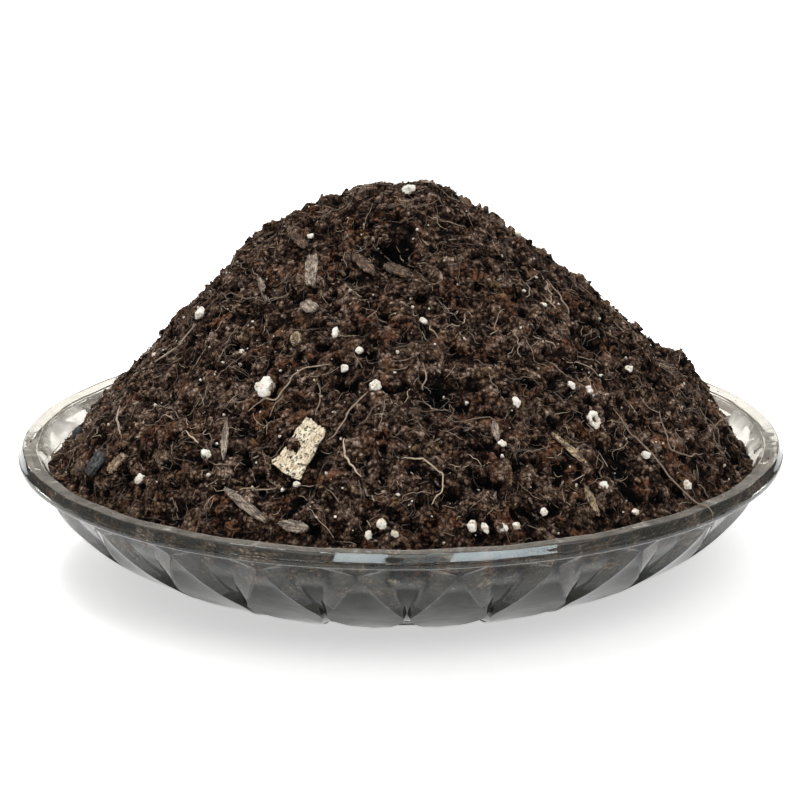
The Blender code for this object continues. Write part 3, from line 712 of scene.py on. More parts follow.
@dataclass
class GlassDish:
    """The pressed dish: a panelled ledge, a rounded rim, a wall of kites, a floor and a foot."""

    rim_radius: float
    height: float = 0.0320
    rim_depth: float = 0.0038
    rim_bulge: float = 0.0005
    ledge_width: float = 0.0047
    ledge_round: float = 0.0005
    panel_dip: float = 0.00030
    wall: float = 0.0036
    wall_set_back: float = 0.0044
    wall_top_drop: float = 0.0060
    belly_radius: float = 0.0770
    belly_height: float = 0.0077
    floor: float = 0.0042
    foot_radius: float = 0.0470
    foot_width: float = 0.0050
    foot_height: float = 0.0012
    foot_taper: float = 0.0008
    floor_rise: float = 0.0011
    kites: int = 24
    turn: float = 1.0
    relief: float = 0.0015
    dish: float = 0.45
    bead: float = 0.5
    waist: float = 0.5
    band_share: float = 0.57
    band_at_waist: float = 0.90
    tip_share: float = 0.06
    waist_share: float = 0.92
    rows_above: int = 20
    rows_below: int = 16
    steps: tuple[int, int, int] = (4, 3, 2)
    # Film amounts: soil dust on the inside, the ledge and the rim; painted light on the bare inside, a painted
    # highlight on the ledge's ridges, a tan painted reflection on the wall, and painted shade low on the wall.
    inner_film: float = 0.14
    bare_painted_light: float = 0.84
    ledge_film: float = 0.20
    painted_ridge_highlight: float = 0.10
    rim_film: float = 0.035
    painted_wall_shade: float = 0.84
    tan_painted_reflection: float = 0.06
    painted_groove_lines: float = 0.42
    groove_width: float = 0.55
    outer_film: float = 0.0
    finish: GlassFinish = field(default_factory=GlassFinish)

    def outside(self, share: float) -> Vector:
        """Return the outer wall's mean radius and height, from its top (0) to the foot (1)."""
        top = Vector((self.rim_radius - self.wall_set_back, self.height - self.wall_top_drop))
        belly = Vector((self.belly_radius, self.belly_height))
        foot = Vector((self.foot_radius, self.foot_height))
        rest = 1.0 - share
        return rest * rest * top + 2.0 * share * rest * belly + share * share * foot

    def outward(self, share: float) -> Vector:
        """Return the wall's normal, as radius and height, away from the inside."""
        step = 0.01
        along = self.outside(min(share + step, 1.0)) - self.outside(max(share - step, 0.0))
        return Vector((-along.y, along.x)).normalized()

    def inside(self) -> list[Vector]:
        """Return the inside as radius and height, from the ledge to the middle of the floor."""
        points = [Vector((self.rim_radius - self.ledge_width, self.height))]
        for share in np.linspace(0.0, 0.74, 22).tolist():
            points.append(self.outside(share) - self.wall * self.outward(share))
        points.append(Vector((self.foot_radius - self.wall, self.floor + self.floor_rise)))
        points.append(Vector((0.5 * self.foot_radius, self.floor)))
        points.append(Vector((0.0, self.floor)))
        return points

    def inner_radius(self, heights: np.ndarray) -> np.ndarray:
        """Return the radius of the inside at heights between the floor and the ledge."""
        points = self.inside()[:-2]
        return np.interp(heights, [point.y for point in points[::-1]], [point.x for point in points[::-1]])

    def _pattern(self, share: float) -> tuple[np.ndarray, np.ndarray]:
        """Return one row of the kites: bearings within one repeat, and the relief at each.

        A kite starts as a point under the rim, is widest at its waist, where it meets its
        neighbours, and ends in a bead near the foot. Beside its upper edges run flat bands.
        """
        half = 180.0 / self.kites
        reach = share / self.waist if share < self.waist else (1.0 - share) / (1.0 - self.waist)
        edge = half * min(max(reach, self.tip_share), self.waist_share)
        line = edge + (half - edge) * (self.band_share + (self.band_at_waist - self.band_share) * reach)
        middle = 1.0 - self.dish * math.sin(math.pi * share) + self.bead * smooth_step(self.waist, 1.0, share)
        face, strip, flat = self.steps
        bearings = [edge * step / face for step in range(face)]
        reliefs = [middle + (1.0 - middle) * (step / face) ** 2 for step in range(face)]
        bearings += [edge + (line - edge) * step / strip for step in range(strip)]
        reliefs += [1.0 - step / strip for step in range(strip)]
        bearings += [line + (half - line) * step / flat for step in range(flat)]
        reliefs += [0.0] * flat
        mirrored = [2.0 * half - bearing for bearing in reversed(bearings[1:])]
        row = np.array(bearings + [half] + mirrored)
        return row, np.array(reliefs + [0.0] + reliefs[:0:-1])

    def _wall_ring(self, share: float) -> tuple[np.ndarray, np.ndarray, np.ndarray]:
        """Return one ring of the patterned wall: bearings, radii and heights."""
        bearings, reliefs = self._pattern(share)
        pitch = 360.0 / self.kites
        starts = self.turn + (np.arange(self.kites) + 0.5) * pitch
        turns = (starts[:, None] + bearings[None, :]).ravel()
        lifts = np.tile((reliefs - 0.5) * self.relief, self.kites)
        base = self.outside(share)
        normal = self.outward(share)
        return turns, base.x + lifts * normal.x, np.maximum(base.y + lifts * normal.y, 0.0)

    def _wall_painted_light(self, share: float) -> np.ndarray:
        """Return the painted light round one ring of the wall: a tan painted reflection beside the kites' upper edges,
        painted shade below.
        """
        face, strip, _ = self.steps
        beside = np.zeros(2 * sum(self.steps))
        beside[face:face + strip] = 1.0
        beside[len(beside) - face - strip + 1:len(beside) - face + 1] = 1.0
        # Tan painted reflection on the flat bands, fading lower down the wall.
        beside *= self.tan_painted_reflection * (1.0 - smooth_step(0.22, 0.40, share))
        # Painted shade, growing towards the foot.
        painted_wall_shade = self.painted_wall_shade * smooth_step(0.02, 0.40, share)
        return np.tile(np.where(beside > 0.02, beside, -painted_wall_shade), self.kites)

    def _bare_painted_light(self, share: float, bearings: np.ndarray) -> np.ndarray:
        """Return the painted light on the bare inside: a pale sheet, thinner along painted lines where the kites' edges
        show through.
        """
        half = 180.0 / self.kites
        reach = min(share / self.waist, 1.0)
        edge = half * min(max(reach, self.tip_share), self.waist_share)
        aside = np.abs((bearings - self.turn) % (2.0 * half) - half)
        lines = np.exp(-(((aside - edge) / self.groove_width) ** 2))
        return self.bare_painted_light - self.painted_groove_lines * lines

    def _rim_profile(self) -> list[Vector]:
        """Return the outside of the rim: a wide bevel, a fine groove and a bulging lower band."""
        shape = ((1.55, 0.02), (1.32, 0.08), (1.14, 0.22), (0.98, 0.52), (0.82, 0.82), (0.66, 1.12), (0.50, 1.42),
                 (0.34, 1.72), (0.22, 1.92), (0.38, 2.06), (0.10, 2.22), (0.00, 2.60), (0.04, 3.05), (0.20, 3.45),
                 (0.55, 3.72), (1.20, 3.84))
        points = [Vector((self.rim_radius - 0.001 * inset, self.height - 0.001 * drop)) for inset, drop in shape]
        under = self.outside(0.0)
        points.append(under + Vector((0.0012, 0.6 * (self.height - self.rim_depth - under.y))))
        return points

    def build(self, edge: Callable[[np.ndarray], tuple[np.ndarray, np.ndarray]]) -> bpy.types.Object:
        """Build the dish as one closed moulding and stand it in for its solid.

        Args:
            edge: Gives the radius and height of the mix's edge at some bearings.

        Returns:
            The dish.
        """
        columns = self.kites * 2 * sum(self.steps)
        pitch = 360.0 / self.kites
        even = self.turn + 0.5 * pitch + np.arange(columns) * 360.0 / columns
        off_line = np.abs((even - self.turn - 0.5 * pitch + 0.5 * pitch) % pitch - 0.5 * pitch)
        crest = np.exp(-((off_line / 0.45) ** 2))
        dips = self.panel_dip * (1.0 - crest) * (0.55 + 0.45 * np.cos(np.pi * (off_line / (0.5 * pitch) - 1.0)))
        flat = np.ones(columns)
        _, line = edge(even)
        # The ledge's dust film, with a painted highlight along each ridge.
        ledge = self.ledge_film + self.painted_ridge_highlight * crest
        rings = []
        films = []
        wall_shares = [*np.linspace(0.0, 0.74, 22).tolist(), 0.8, 0.9]
        for point, share in zip(reversed(self.inside()[1:-1]), reversed(wall_shares)):
            rings.append((even, point.x * flat, point.y * flat))
            # Above the mix the inside gets painted light in place of the soil dust film.
            bare = smooth_step(0.0, 0.0012, point.y - line)
            films.append(self.inner_film + (self._bare_painted_light(share, even) - self.inner_film) * bare)
        inner = self.rim_radius - self.ledge_width
        for inset, drop in ((0.0, self.ledge_round), (0.15, 0.3), (0.5, 0.0)):
            lowered = self.height - (drop if inset == 0.0 else drop * self.ledge_round) - dips
            rings.append((even, (inner + inset * self.ledge_round) * flat, lowered))
            films.append(ledge)
        outer = self.rim_radius - 0.0017
        for share in (0.12, 0.5, 0.88):
            rings.append((even, (inner + share * (outer - inner)) * flat, self.height - dips))
            films.append(ledge)
        for index, point in enumerate(self._rim_profile()):
            settle = max(1.0 - index / 4.0, 0.0)
            rings.append((even, point.x * flat, point.y - settle * dips))
            films.append(ledge if index == 0 else self.rim_film * flat)
        shares = [self.waist * step / self.rows_above for step in range(self.rows_above)]
        shares += np.linspace(self.waist, 0.985, self.rows_below).tolist()
        rings += [self._wall_ring(share) for share in shares]
        films += [self._wall_painted_light(share) for share in shares]
        recess = self.foot_radius - self.foot_width
        for radius, level in ((self.foot_radius, self.foot_height),
                              (self.foot_radius - 0.3 * self.foot_taper, 0.3 * self.foot_height),
                              (self.foot_radius - self.foot_taper, 0.0), (recess, 0.0),
                              (recess - self.foot_taper, self.foot_height), (0.5 * recess, self.foot_height)):
            rings.append((even, radius * flat, level * flat))
        films += [self.outer_film * flat] * (len(rings) - len(films))
        mesh = self._mesh_of(rings)
        store(mesh, "film", np.concatenate([*films, [self.inner_film, self.outer_film]]))
        return add_piece(mesh, self.finish.material(), Slot.GLASS, "glass_dish")

    def _mesh_of(self, rings: list[tuple[np.ndarray, np.ndarray, np.ndarray]]) -> bpy.types.Mesh:
        """Return the closed mesh over rings of one count, from the inside's middle to the foot's."""
        columns = len(rings[0][0])
        points = []
        for bearings, radii, heights in rings:
            turns = np.radians(bearings)
            points.append(np.stack([radii * np.sin(turns), -radii * np.cos(turns), heights], axis=1))
        points = np.vstack(points + [[[0.0, 0.0, self.floor]], [[0.0, 0.0, self.foot_height]]])
        faces = []
        after = [(column + 1) % columns for column in range(columns)]
        for row in range(len(rings) - 1):
            low = row * columns
            high = low + columns
            faces.extend((low + one, low + two, high + two, high + one) for one, two in enumerate(after))
        hub = len(points) - 2
        last = (len(rings) - 1) * columns
        faces.extend((hub, two, one) for one, two in enumerate(after))
        faces.extend((hub + 1, last + one, last + two) for one, two in enumerate(after))
        return make_mesh("dish_of_pressed_glass", points, faces, sharp=14.0)


@dataclass(frozen=True)
class Spot:
    """A place on the heap where its fine surface is raised or lowered."""

    bearing: float
    share: float
    rise: float
    spread: float


@dataclass(frozen=True)
class Strewn:
    """Small bodies strewn over a surface: crumbs, bits of bark or perlite dust."""

    name: str
    density: float
    smallest: float
    largest: float
    fineness: int
    lumpiness: float = 0.55
    stretch: Colour = (1.0, 0.85, 0.7)
    tumble: float = math.pi
    skew: float = 2.0
    lift: float = 0.15
    shapes: int = 5
    seed: int = 1

    def tree(self, material: bpy.types.Material) -> bpy.types.NodeTree:
        """Return the node group that strews the bodies over the mesh that it is given."""
        tree = start_tree(self.name, {
            "Density": ("NodeSocketFloat", self.density),
            "Smallest": ("NodeSocketFloat", self.smallest),
            "Largest": ("NodeSocketFloat", self.largest),
            "Seed": ("NodeSocketInt", self.seed),
        })
        writer = NodeWriter(tree)
        group = writer.node("NodeGroupInput")
        seed = group.outputs["Seed"]
        spread = writer.node("GeometryNodeInputNamedAttribute", {"Name": "spread"}, data_type="FLOAT").outputs[0]
        density = writer.math("MULTIPLY", group.outputs["Density"], spread)
        points = writer.node("GeometryNodeDistributePointsOnFaces",
                             {"Mesh": group.outputs["Geometry"], "Density": density, "Seed": seed})
        chance = random_number(writer, 0.0, 1.0, seed, 11)
        span = writer.math("SUBTRACT", group.outputs["Largest"], group.outputs["Smallest"])
        size = writer.math("ADD", group.outputs["Smallest"],
                           writer.math("MULTIPLY", span, writer.math("POWER", chance, self.skew)))
        heave = writer.math("MULTIPLY", random_number(writer, -0.5, 1.0, seed, 23), self.lift)
        offset = writer.times(points.outputs["Normal"], writer.math("MULTIPLY", heave, size))
        raised = writer.node("GeometryNodeSetPosition", {"Geometry": points.outputs["Points"], "Offset": offset})
        spin = writer.node("FunctionNodeRandomValue",
                           {0: (-self.tumble, -self.tumble, -math.pi), 1: (self.tumble, self.tumble, math.pi),
                            "Seed": shifted_seed(writer, seed, 37)}, data_type="FLOAT_VECTOR").outputs[0]
        turned = writer.node("FunctionNodeRotateRotation",
                             {0: points.outputs["Rotation"],
                              1: writer.node("FunctionNodeEulerToRotation", {0: spin}).outputs[0]},
                             rotation_space="LOCAL").outputs[0]
        stretch = writer.node("FunctionNodeRandomValue",
                              {0: tuple(0.8 * side for side in self.stretch), 1: tuple(1.2 * side for side in self.stretch),
                               "Seed": shifted_seed(writer, seed, 41)}, data_type="FLOAT_VECTOR").outputs[0]
        bodies = writer.node("GeometryNodeInstanceOnPoints",
                             {"Points": raised.outputs[0], "Instance": self._shapes(writer), "Pick Instance": True,
                              "Rotation": turned, "Scale": writer.times(stretch, size)})
        toned = writer.node("GeometryNodeStoreNamedAttribute",
                            {"Geometry": bodies.outputs[0], "Name": "tone",
                             "Value": random_number(writer, 0.0, 1.0, seed, 53)},
                            data_type="FLOAT", domain="INSTANCE")
        finish_tree(writer, toned.outputs[0], material)
        return tree

    def _shapes(self, writer: NodeWriter) -> bpy.types.NodeSocket:
        """Return several lumpy bodies, one across, to pick from."""
        join = writer.node("GeometryNodeJoinGeometry")
        for number in range(self.shapes):
            if self.fineness == 0:
                body = writer.node("GeometryNodeMeshCube", {"Size": (0.72, 0.72, 0.72)}).outputs[0]
            else:
                body = writer.node("GeometryNodeMeshIcoSphere",
                                   {"Radius": 0.5, "Subdivisions": self.fineness}).outputs[0]
            place = writer.node("GeometryNodeInputPosition").outputs[0]
            bumps = writer.node("ShaderNodeTexNoise", {"Vector": place, "W": 3.7 * number + self.seed, "Scale": 2.4,
                                                       "Detail": 1.0}, noise_dimensions="4D").outputs[1]
            offset = writer.times(writer.vector("SUBTRACT", bumps, (0.5, 0.5, 0.5)), 2.0 * self.lumpiness)
            lumpy = writer.node("GeometryNodeSetPosition", {"Geometry": body, "Offset": offset})
            held = writer.node("GeometryNodeGeometryToInstance", {0: lumpy.outputs[0]})
            writer.put(join.inputs[0], held.outputs[0])
        return join.outputs[0]


@dataclass(frozen=True)
class Fibres:
    """Fine roots that lie along a surface, bent with it and lifting here and there."""

    name: str
    density: float
    shortest: float
    longest: float
    thinnest: float
    thickest: float
    knots: int = 8
    bend: float = 0.0020
    bend_size: float = 0.0060
    follow: float = 0.80
    lift: float = 0.00035
    curl: float = 0.0010
    seed: int = 5

    def tree(self, material: bpy.types.Material) -> bpy.types.NodeTree:
        """Return the node group that lays the fibres over the mesh that it is given."""
        tree = start_tree(self.name, {
            "Density": ("NodeSocketFloat", self.density),
            "Shortest": ("NodeSocketFloat", self.shortest),
            "Longest": ("NodeSocketFloat", self.longest),
            "Seed": ("NodeSocketInt", self.seed),
        })
        writer = NodeWriter(tree)
        group = writer.node("NodeGroupInput")
        seed = group.outputs["Seed"]
        spread = writer.node("GeometryNodeInputNamedAttribute", {"Name": "spread"}, data_type="FLOAT").outputs[0]
        density = writer.math("MULTIPLY", group.outputs["Density"], writer.math("POWER", spread, 3.0))
        points = writer.node("GeometryNodeDistributePointsOnFaces",
                             {"Mesh": group.outputs["Geometry"], "Density": density, "Seed": seed})
        line = writer.node("GeometryNodeCurvePrimitiveLine", {0: (-0.5, 0.0, 0.0), 1: (0.5, 0.0, 0.0)})
        line = writer.node("GeometryNodeResampleCurve", {"Curve": line.outputs[0], "Count": self.knots})
        heading = writer.node("FunctionNodeRandomValue",
                              {0: (-0.2, -0.2, -math.pi), 1: (0.2, 0.2, math.pi),
                               "Seed": shifted_seed(writer, seed, 3)}, data_type="FLOAT_VECTOR").outputs[0]
        turned = writer.node("FunctionNodeRotateRotation",
                             {0: points.outputs["Rotation"],
                              1: writer.node("FunctionNodeEulerToRotation", {0: heading}).outputs[0]},
                             rotation_space="LOCAL").outputs[0]
        chance = writer.math("POWER", random_number(writer, 0.0, 1.0, seed, 7), 1.8)
        span = writer.math("SUBTRACT", group.outputs["Longest"], group.outputs["Shortest"])
        length = writer.math("ADD", group.outputs["Shortest"], writer.math("MULTIPLY", span, chance))
        strands = writer.node("GeometryNodeInstanceOnPoints",
                              {"Points": points.outputs["Points"], "Instance": line.outputs[0], "Rotation": turned,
                               "Scale": writer.node("ShaderNodeCombineXYZ", {0: length, 1: length, 2: length}).outputs[0]})
        kept = strands.outputs[0]
        for name, least, most, shift in (("tone", 0.0, 1.0, 13), ("girth", self.thinnest, self.thickest, 17),
                                         ("curl", -0.35 * self.curl, self.curl, 19)):
            kept = writer.node("GeometryNodeStoreNamedAttribute",
                               {"Geometry": kept, "Name": name, "Value": random_number(writer, least, most, seed, shift)},
                               data_type="FLOAT", domain="INSTANCE").outputs[0]
        curves = writer.node("GeometryNodeRealizeInstances", {0: kept}).outputs[0]
        place = writer.node("GeometryNodeInputPosition").outputs[0]
        sway = writer.node("ShaderNodeTexNoise", {"Vector": place, "Scale": 1.0 / self.bend_size, "Detail": 2.0}).outputs[1]
        offset = writer.times(writer.vector("SUBTRACT", sway, (0.5, 0.5, 0.5)), 2.0 * self.bend)
        curves = writer.node("GeometryNodeSetPosition", {"Geometry": curves, "Offset": offset}).outputs[0]
        down = writer.node("GeometryNodeSplineParameter").outputs["Factor"]
        end = writer.math("POWER", writer.math("ABSOLUTE", writer.math("MULTIPLY_ADD", down, 2.0)), 2.0)
        end.node.inputs[0].links[0].from_node.inputs[0].links[0].from_node.inputs[2].default_value = -1.0
        curl = writer.node("GeometryNodeInputNamedAttribute", {"Name": "curl"}, data_type="FLOAT").outputs[0]
        rise = writer.math("ADD", writer.math("MULTIPLY", curl, end), self.lift)
        here = writer.node("GeometryNodeInputPosition").outputs[0]
        near = writer.node("GeometryNodeProximity", {0: group.outputs["Geometry"]}, target_element="FACES").outputs[0]
        up = writer.node("ShaderNodeCombineXYZ", {2: rise}).outputs[0]
        laid = writer.node("ShaderNodeMix", {0: self.follow, 4: here, 5: writer.vector("ADD", near, up)},
                           data_type="VECTOR").outputs[1]
        curves = writer.node("GeometryNodeSetPosition", {"Geometry": curves, "Position": laid}).outputs[0]
        girth = writer.node("GeometryNodeInputNamedAttribute", {"Name": "girth"}, data_type="FLOAT").outputs[0]
        taper = writer.math("SUBTRACT", 1.0, writer.math("MULTIPLY", end, 0.55))
        profile = writer.node("GeometryNodeCurvePrimitiveCircle", {"Resolution": 3, "Radius": 0.5}).outputs[0]
        tubes = writer.node("GeometryNodeCurveToMesh",
                            {"Curve": curves, "Profile Curve": profile, "Scale": writer.math("MULTIPLY", girth, taper),
                             "Fill Caps": True}).outputs[0]
        finish_tree(writer, tubes, material)
        return tree


def start_tree(name: str, inputs: dict[str, tuple[str, float]]) -> bpy.types.NodeTree:
    """Return a geometry node group with a mesh going in and coming out, and named inputs."""
    tree = bpy.data.node_groups.new(name, "GeometryNodeTree")
    tree.interface.new_socket("Geometry", in_out="INPUT", socket_type="NodeSocketGeometry")
    tree.interface.new_socket("Geometry", in_out="OUTPUT", socket_type="NodeSocketGeometry")
    for label, (kind, value) in inputs.items():
        socket = tree.interface.new_socket(label, in_out="INPUT", socket_type=kind)
        socket.default_value = value
    return tree


def shifted_seed(writer: NodeWriter, seed: bpy.types.NodeSocket, shift: int) -> bpy.types.NodeSocket:
    """Return a seed of its own for one use of chance."""
    return writer.math("ADD", seed, float(shift))


def random_number(writer: NodeWriter, least: float, most: float, seed: bpy.types.NodeSocket,
                  shift: int) -> bpy.types.NodeSocket:
    """Return a random number for each point."""
    return writer.node("FunctionNodeRandomValue",
                       {2: least, 3: most, "Seed": shifted_seed(writer, seed, shift)}, data_type="FLOAT").outputs[1]


def finish_tree(writer: NodeWriter, geometry: bpy.types.NodeSocket, material: bpy.types.Material) -> None:
    """End a node group: real faces, smooth shading and a finish."""
    real = writer.node("GeometryNodeRealizeInstances", {0: geometry}).outputs[0]
    smooth = writer.node("GeometryNodeSetShadeSmooth", {0: real}).outputs[0]
    dressed = writer.node("GeometryNodeSetMaterial", {"Geometry": smooth, "Material": material}).outputs[0]
    writer.node("NodeGroupOutput", {0: dressed})


def grow(base: bpy.types.Mesh, maker: Strewn | Fibres, material: bpy.types.Material) -> bpy.types.Mesh:
    """Return the plain mesh that a maker's node group grows on a base mesh.

    Args:
        base: The mesh that the bodies are laid on, with its attribute "spread".
        maker: What is laid on it.
        material: Its finish.

    Returns:
        The new mesh, without the base.
    """
    holder = bpy.data.objects.new(maker.name + "_maker", base)
    bpy.context.collection.objects.link(holder)
    tree = maker.tree(material)
    modifier = holder.modifiers.new(maker.name, "NODES")
    modifier.node_group = tree
    for item in tree.interface.items_tree:
        if item.in_out == "INPUT" and item.socket_type != "NodeSocketGeometry":
            modifier[item.identifier] = item.default_value
    graph = bpy.context.evaluated_depsgraph_get()
    mesh = bpy.data.meshes.new_from_object(holder.evaluated_get(graph), depsgraph=graph)
    mesh.name = maker.name
    bpy.data.objects.remove(holder, do_unlink=True)
    return mesh


@dataclass
class Heap:
    """The heap of potting mix: its fine surface, its crumbs, bits and fine roots."""

    dish: GlassDish
    surface: HeapSurface
    clearance: float = 0.0003
    ring_pitch: float = 0.00054
    point_pitch: float = 0.00070
    sunk: float = 0.0007
    lump: float = 0.0048
    lump_height: float = 0.0005
    clod: float = 0.0031
    clod_height: float = 0.0010
    crumb: float = 0.0017
    crumb_height: float = 0.0006
    clump: float = 0.0068
    clump_height: float = 0.0010
    hole: float = 0.0030
    hole_depth: float = 0.0019
    hole_shift: Vector = field(default_factory=lambda: Vector((3.7, 9.1, 4.3)))
    headroom: float = 0.0018
    edge_fade: float = 0.955
    blotch: float = 0.0042
    pressed_in: float = 0.00012
    soil_line: tuple[tuple[float, float], ...] = (
        (-180, -5.0), (-150, -4.6), (-128, -2.0), (-116, -2.4), (-111, -6.0), (-107, -7.0), (-99, -6.0),
        (-90, -4.6), (-84, -3.2), (-70, -1.3), (0, -0.9), (70, -1.3), (84, -3.4), (92, -5.2), (97, -4.5),
        (105, -6.2), (112, -3.2), (123, -2.6), (150, -5.2), (180, -5.0),
    )
    spots: tuple[Spot, ...] = (
        Spot(-4, 0.25, -0.0046, 0.0024), Spot(40, 0.90, -0.0028, 0.0022), Spot(9, 0.66, -0.0016, 0.0020),
        Spot(73, 0.95, -0.0020, 0.0022), Spot(57, 0.61, -0.0024, 0.0012), Spot(-21.2, 0.806, 0.0030, 0.0021),
    )
    makers: tuple[tuple[Strewn | Fibres, Slot], ...] = (
        (Strewn("crumbs_of_mix", 215000, 0.00055, 0.00135, 1, lumpiness=0.7, stretch=(1.0, 0.75, 0.55), seed=3),
         Slot.MIX),
        (Strewn("fine_crumbs_of_mix", 280000, 0.00035, 0.00075, 0, lumpiness=0.6, stretch=(1.0, 0.7, 0.5), seed=8),
         Slot.MIX),
        (Strewn("clods_of_mix", 21000, 0.0013, 0.0030, 2, lumpiness=0.85, lift=0.05, seed=12), Slot.MIX),
        (Strewn("bark_bits", 20000, 0.0012, 0.0032, 1, lumpiness=0.35, stretch=(1.0, 0.45, 0.20), tumble=0.5,
                lift=0.30, seed=21), Slot.BARK),
        (Strewn("wood_bits", 7000, 0.0010, 0.0030, 1, lumpiness=0.30, stretch=(1.0, 0.30, 0.16), tumble=0.5,
                lift=0.45, seed=29), Slot.WOOD),
        (Strewn("perlite_dust", 11000, 0.00035, 0.0011, 1, lumpiness=0.5, skew=1.8, lift=0.45, seed=33),
         Slot.PERLITE),
        (Fibres("fine_roots", 98000, 0.0016, 0.0065, 0.00010, 0.00022, knots=7, bend=0.0026, curl=0.0008, seed=5),
         Slot.ROOT),
        (Fibres("long_fine_roots", 14000, 0.0060, 0.0160, 0.00015, 0.00028, knots=14, bend=0.0040, curl=0.0008,
                seed=9), Slot.ROOT),
    )

    def edge(self, bearings: np.ndarray) -> tuple[np.ndarray, np.ndarray]:
        """Return the radius and height of the line where the heap meets the glass."""
        table = np.array(self.soil_line, dtype=float)
        turns = (bearings + 180.0) % 360.0 - 180.0
        drops = np.interp(turns, table[:, 0], 0.001 * table[:, 1])
        ripple = [noise.noise(Vector((math.cos(math.radians(turn)), math.sin(math.radians(turn)), 0.3)) * 14.0)
                  for turn in turns]
        heights = self.dish.height + drops + 0.0005 * np.array(ripple)
        return self.dish.inner_radius(heights) - self.clearance, heights

    def spot(self, bearing: float, share: float) -> Vector:
        """Return the plan point at a bearing and a share of the slope."""
        radius, _ = self.edge(np.array([bearing]))
        return at_bearing(bearing, share * float(radius[0]), 0.0)

    def _relief(self, place: Vector) -> tuple[float, float]:
        """Return how far the fine surface stands out, and how open it lies, from 0 to 1; the openness paints light on
        tops and shade in hollows into the mix.
        """
        bent = place + 0.0009 * noise.noise_vector(place / 0.0035)
        lumps = noise.noise(place / self.lump)
        clumps = noise.voronoi(bent / self.clump)[0]
        clods = noise.voronoi(bent / self.clod)[0]
        crumbs = noise.voronoi(bent / self.crumb)[0]
        swell = min(clumps[1] - clumps[0], 0.35) / 0.35 - 0.5
        dome = 0.55 - clods[0]
        bead = 0.55 - crumbs[0]
        ridge = min(clods[1] - clods[0], 0.3) / 0.3
        hole = min(max(noise.noise(bent / self.hole + self.hole_shift) - 0.22, 0.0) / 0.30, 1.0)
        rise = self.lump_height * lumps + self.clod_height * dome + self.crumb_height * bead
        rise += self.clump_height * swell - self.hole_depth * hole
        openness_for_painted_shade = 0.5 + 0.50 * dome * ridge + 0.6 * bead + 0.30 * lumps + 0.22 * swell - 0.9 * hole
        return rise, min(max(openness_for_painted_shade, 0.0), 1.0)

    def build(self, finishes: dict[Slot, bpy.types.Material]) -> None:
        """Build the heap's surface and all that is strewn over it."""
        points, rings = self._top()
        count = len(points)
        places, faces = self._underside(points, rings)
        mesh = make_mesh("heap_of_potting_mix", places, faces)
        # The openness paints the mix's shade; under the glass, blotches vary that painted shade and the tone.
        below = places[count:].tolist()
        blotches = [0.5 + 0.5 * noise.noise(Vector(place) / self.blotch) for place in below]
        store(mesh, "open", np.concatenate([self.open, blotches]))
        store(mesh, "tone", np.concatenate([self.tone, blotches]))
        add_piece(mesh, finishes[Slot.MIX], Slot.MIX, "potting_mix")
        top = self._top_sheet(points, rings)
        for maker, slot in self.makers:
            grown = grow(top, maker, finishes[slot])
            places = np.empty(3 * len(grown.vertices))
            grown.vertices.foreach_get("co", places)
            places = places.reshape(-1, 3)
            places[:, 2] = np.minimum(places[:, 2], self.surface.top - 0.0001)
            grown.vertices.foreach_set("co", places.ravel())
            if slot in (Slot.BARK, Slot.WOOD):
                store(grown, "axes", places)
            add_piece(grown, None, slot)
        bpy.data.meshes.remove(top)

    def _top(self) -> tuple[np.ndarray, list[tuple[int, int]]]:
        """Return the points of the heap's top, and each ring's first number and count."""
        rng = np.random.default_rng(7)
        steps = round(self.dish.rim_radius / self.ring_pitch)
        plans = [np.zeros((1, 2))]
        shares = [np.zeros(1)]
        rings = []
        total = 1
        for step in range(1, steps + 1):
            share = step / steps
            count = max(round(2.0 * math.pi * share * self.dish.rim_radius / self.point_pitch), 7)
            last = step == steps
            wander = 0.0 if last else 0.28
            bearings = (np.arange(count) + wander * rng.uniform(-1.0, 1.0, count)) * 360.0 / count
            down = share + wander / steps * rng.uniform(-1.0, 1.0, count)
            radii, heights = self.edge(bearings)
            turns = np.radians(bearings)
            plans.append(np.stack([down * radii * np.sin(turns), -down * radii * np.cos(turns)], axis=1))
            shares.append(down)
            rings.append((total, count))
            total += count
        plan = np.vstack(plans)
        share = np.concatenate(shares)
        x = plan[:, 0]
        y = plan[:, 1]
        bearings = np.degrees(np.arctan2(x, -y))
        _, line = self.edge(bearings)
        heights = self.surface.heights_at(x, y) - self.sunk
        normals = self.surface.normals_at(x, y)
        blend = smooth_step(self.edge_fade, 1.0, share)
        heights = heights + blend * (line - heights)
        fade = 1.0 - smooth_step(0.975, 1.0, share)
        cover = self.surface.cover_at(x, y)
        shadow = np.zeros(len(x))
        for raised in self.spots:
            middle = self.spot(raised.bearing, raised.share)
            gap = (x - middle.x) ** 2 + (y - middle.y) ** 2
            bell = fade * np.exp(-gap / (2.0 * raised.spread ** 2))
            heights += raised.rise * bell
            if raised.rise < 0.0:
                # Painted shadow in the lowered spots.
                shadow += min(-raised.rise / 0.0018, 1.3) * bell
            else:
                cover *= 1.0 - np.minimum(1.6 * bell, 1.0)
        places = np.stack([x, y, heights], axis=1)
        found = [self._relief(Vector(place)) for place in places.tolist()]
        rises = np.array([rise for rise, _ in found]) * fade
        rises = np.minimum(rises * (1.0 - 0.8 * cover), self.surface.top - self.headroom - places[:, 2])
        # The openness, less that painted shadow, paints shade and light into the mix.
        self.open = np.clip(np.array([openness_for_painted_shade for _, openness_for_painted_shade in found]) - 1.1 * shadow, 0.0, 1.0)
        self.cover = cover
        self.tone = rng.uniform(0.0, 1.0, len(places)) * 0.5 + 0.25
        self.share = share
        return places + rises[:, None] * normals, rings

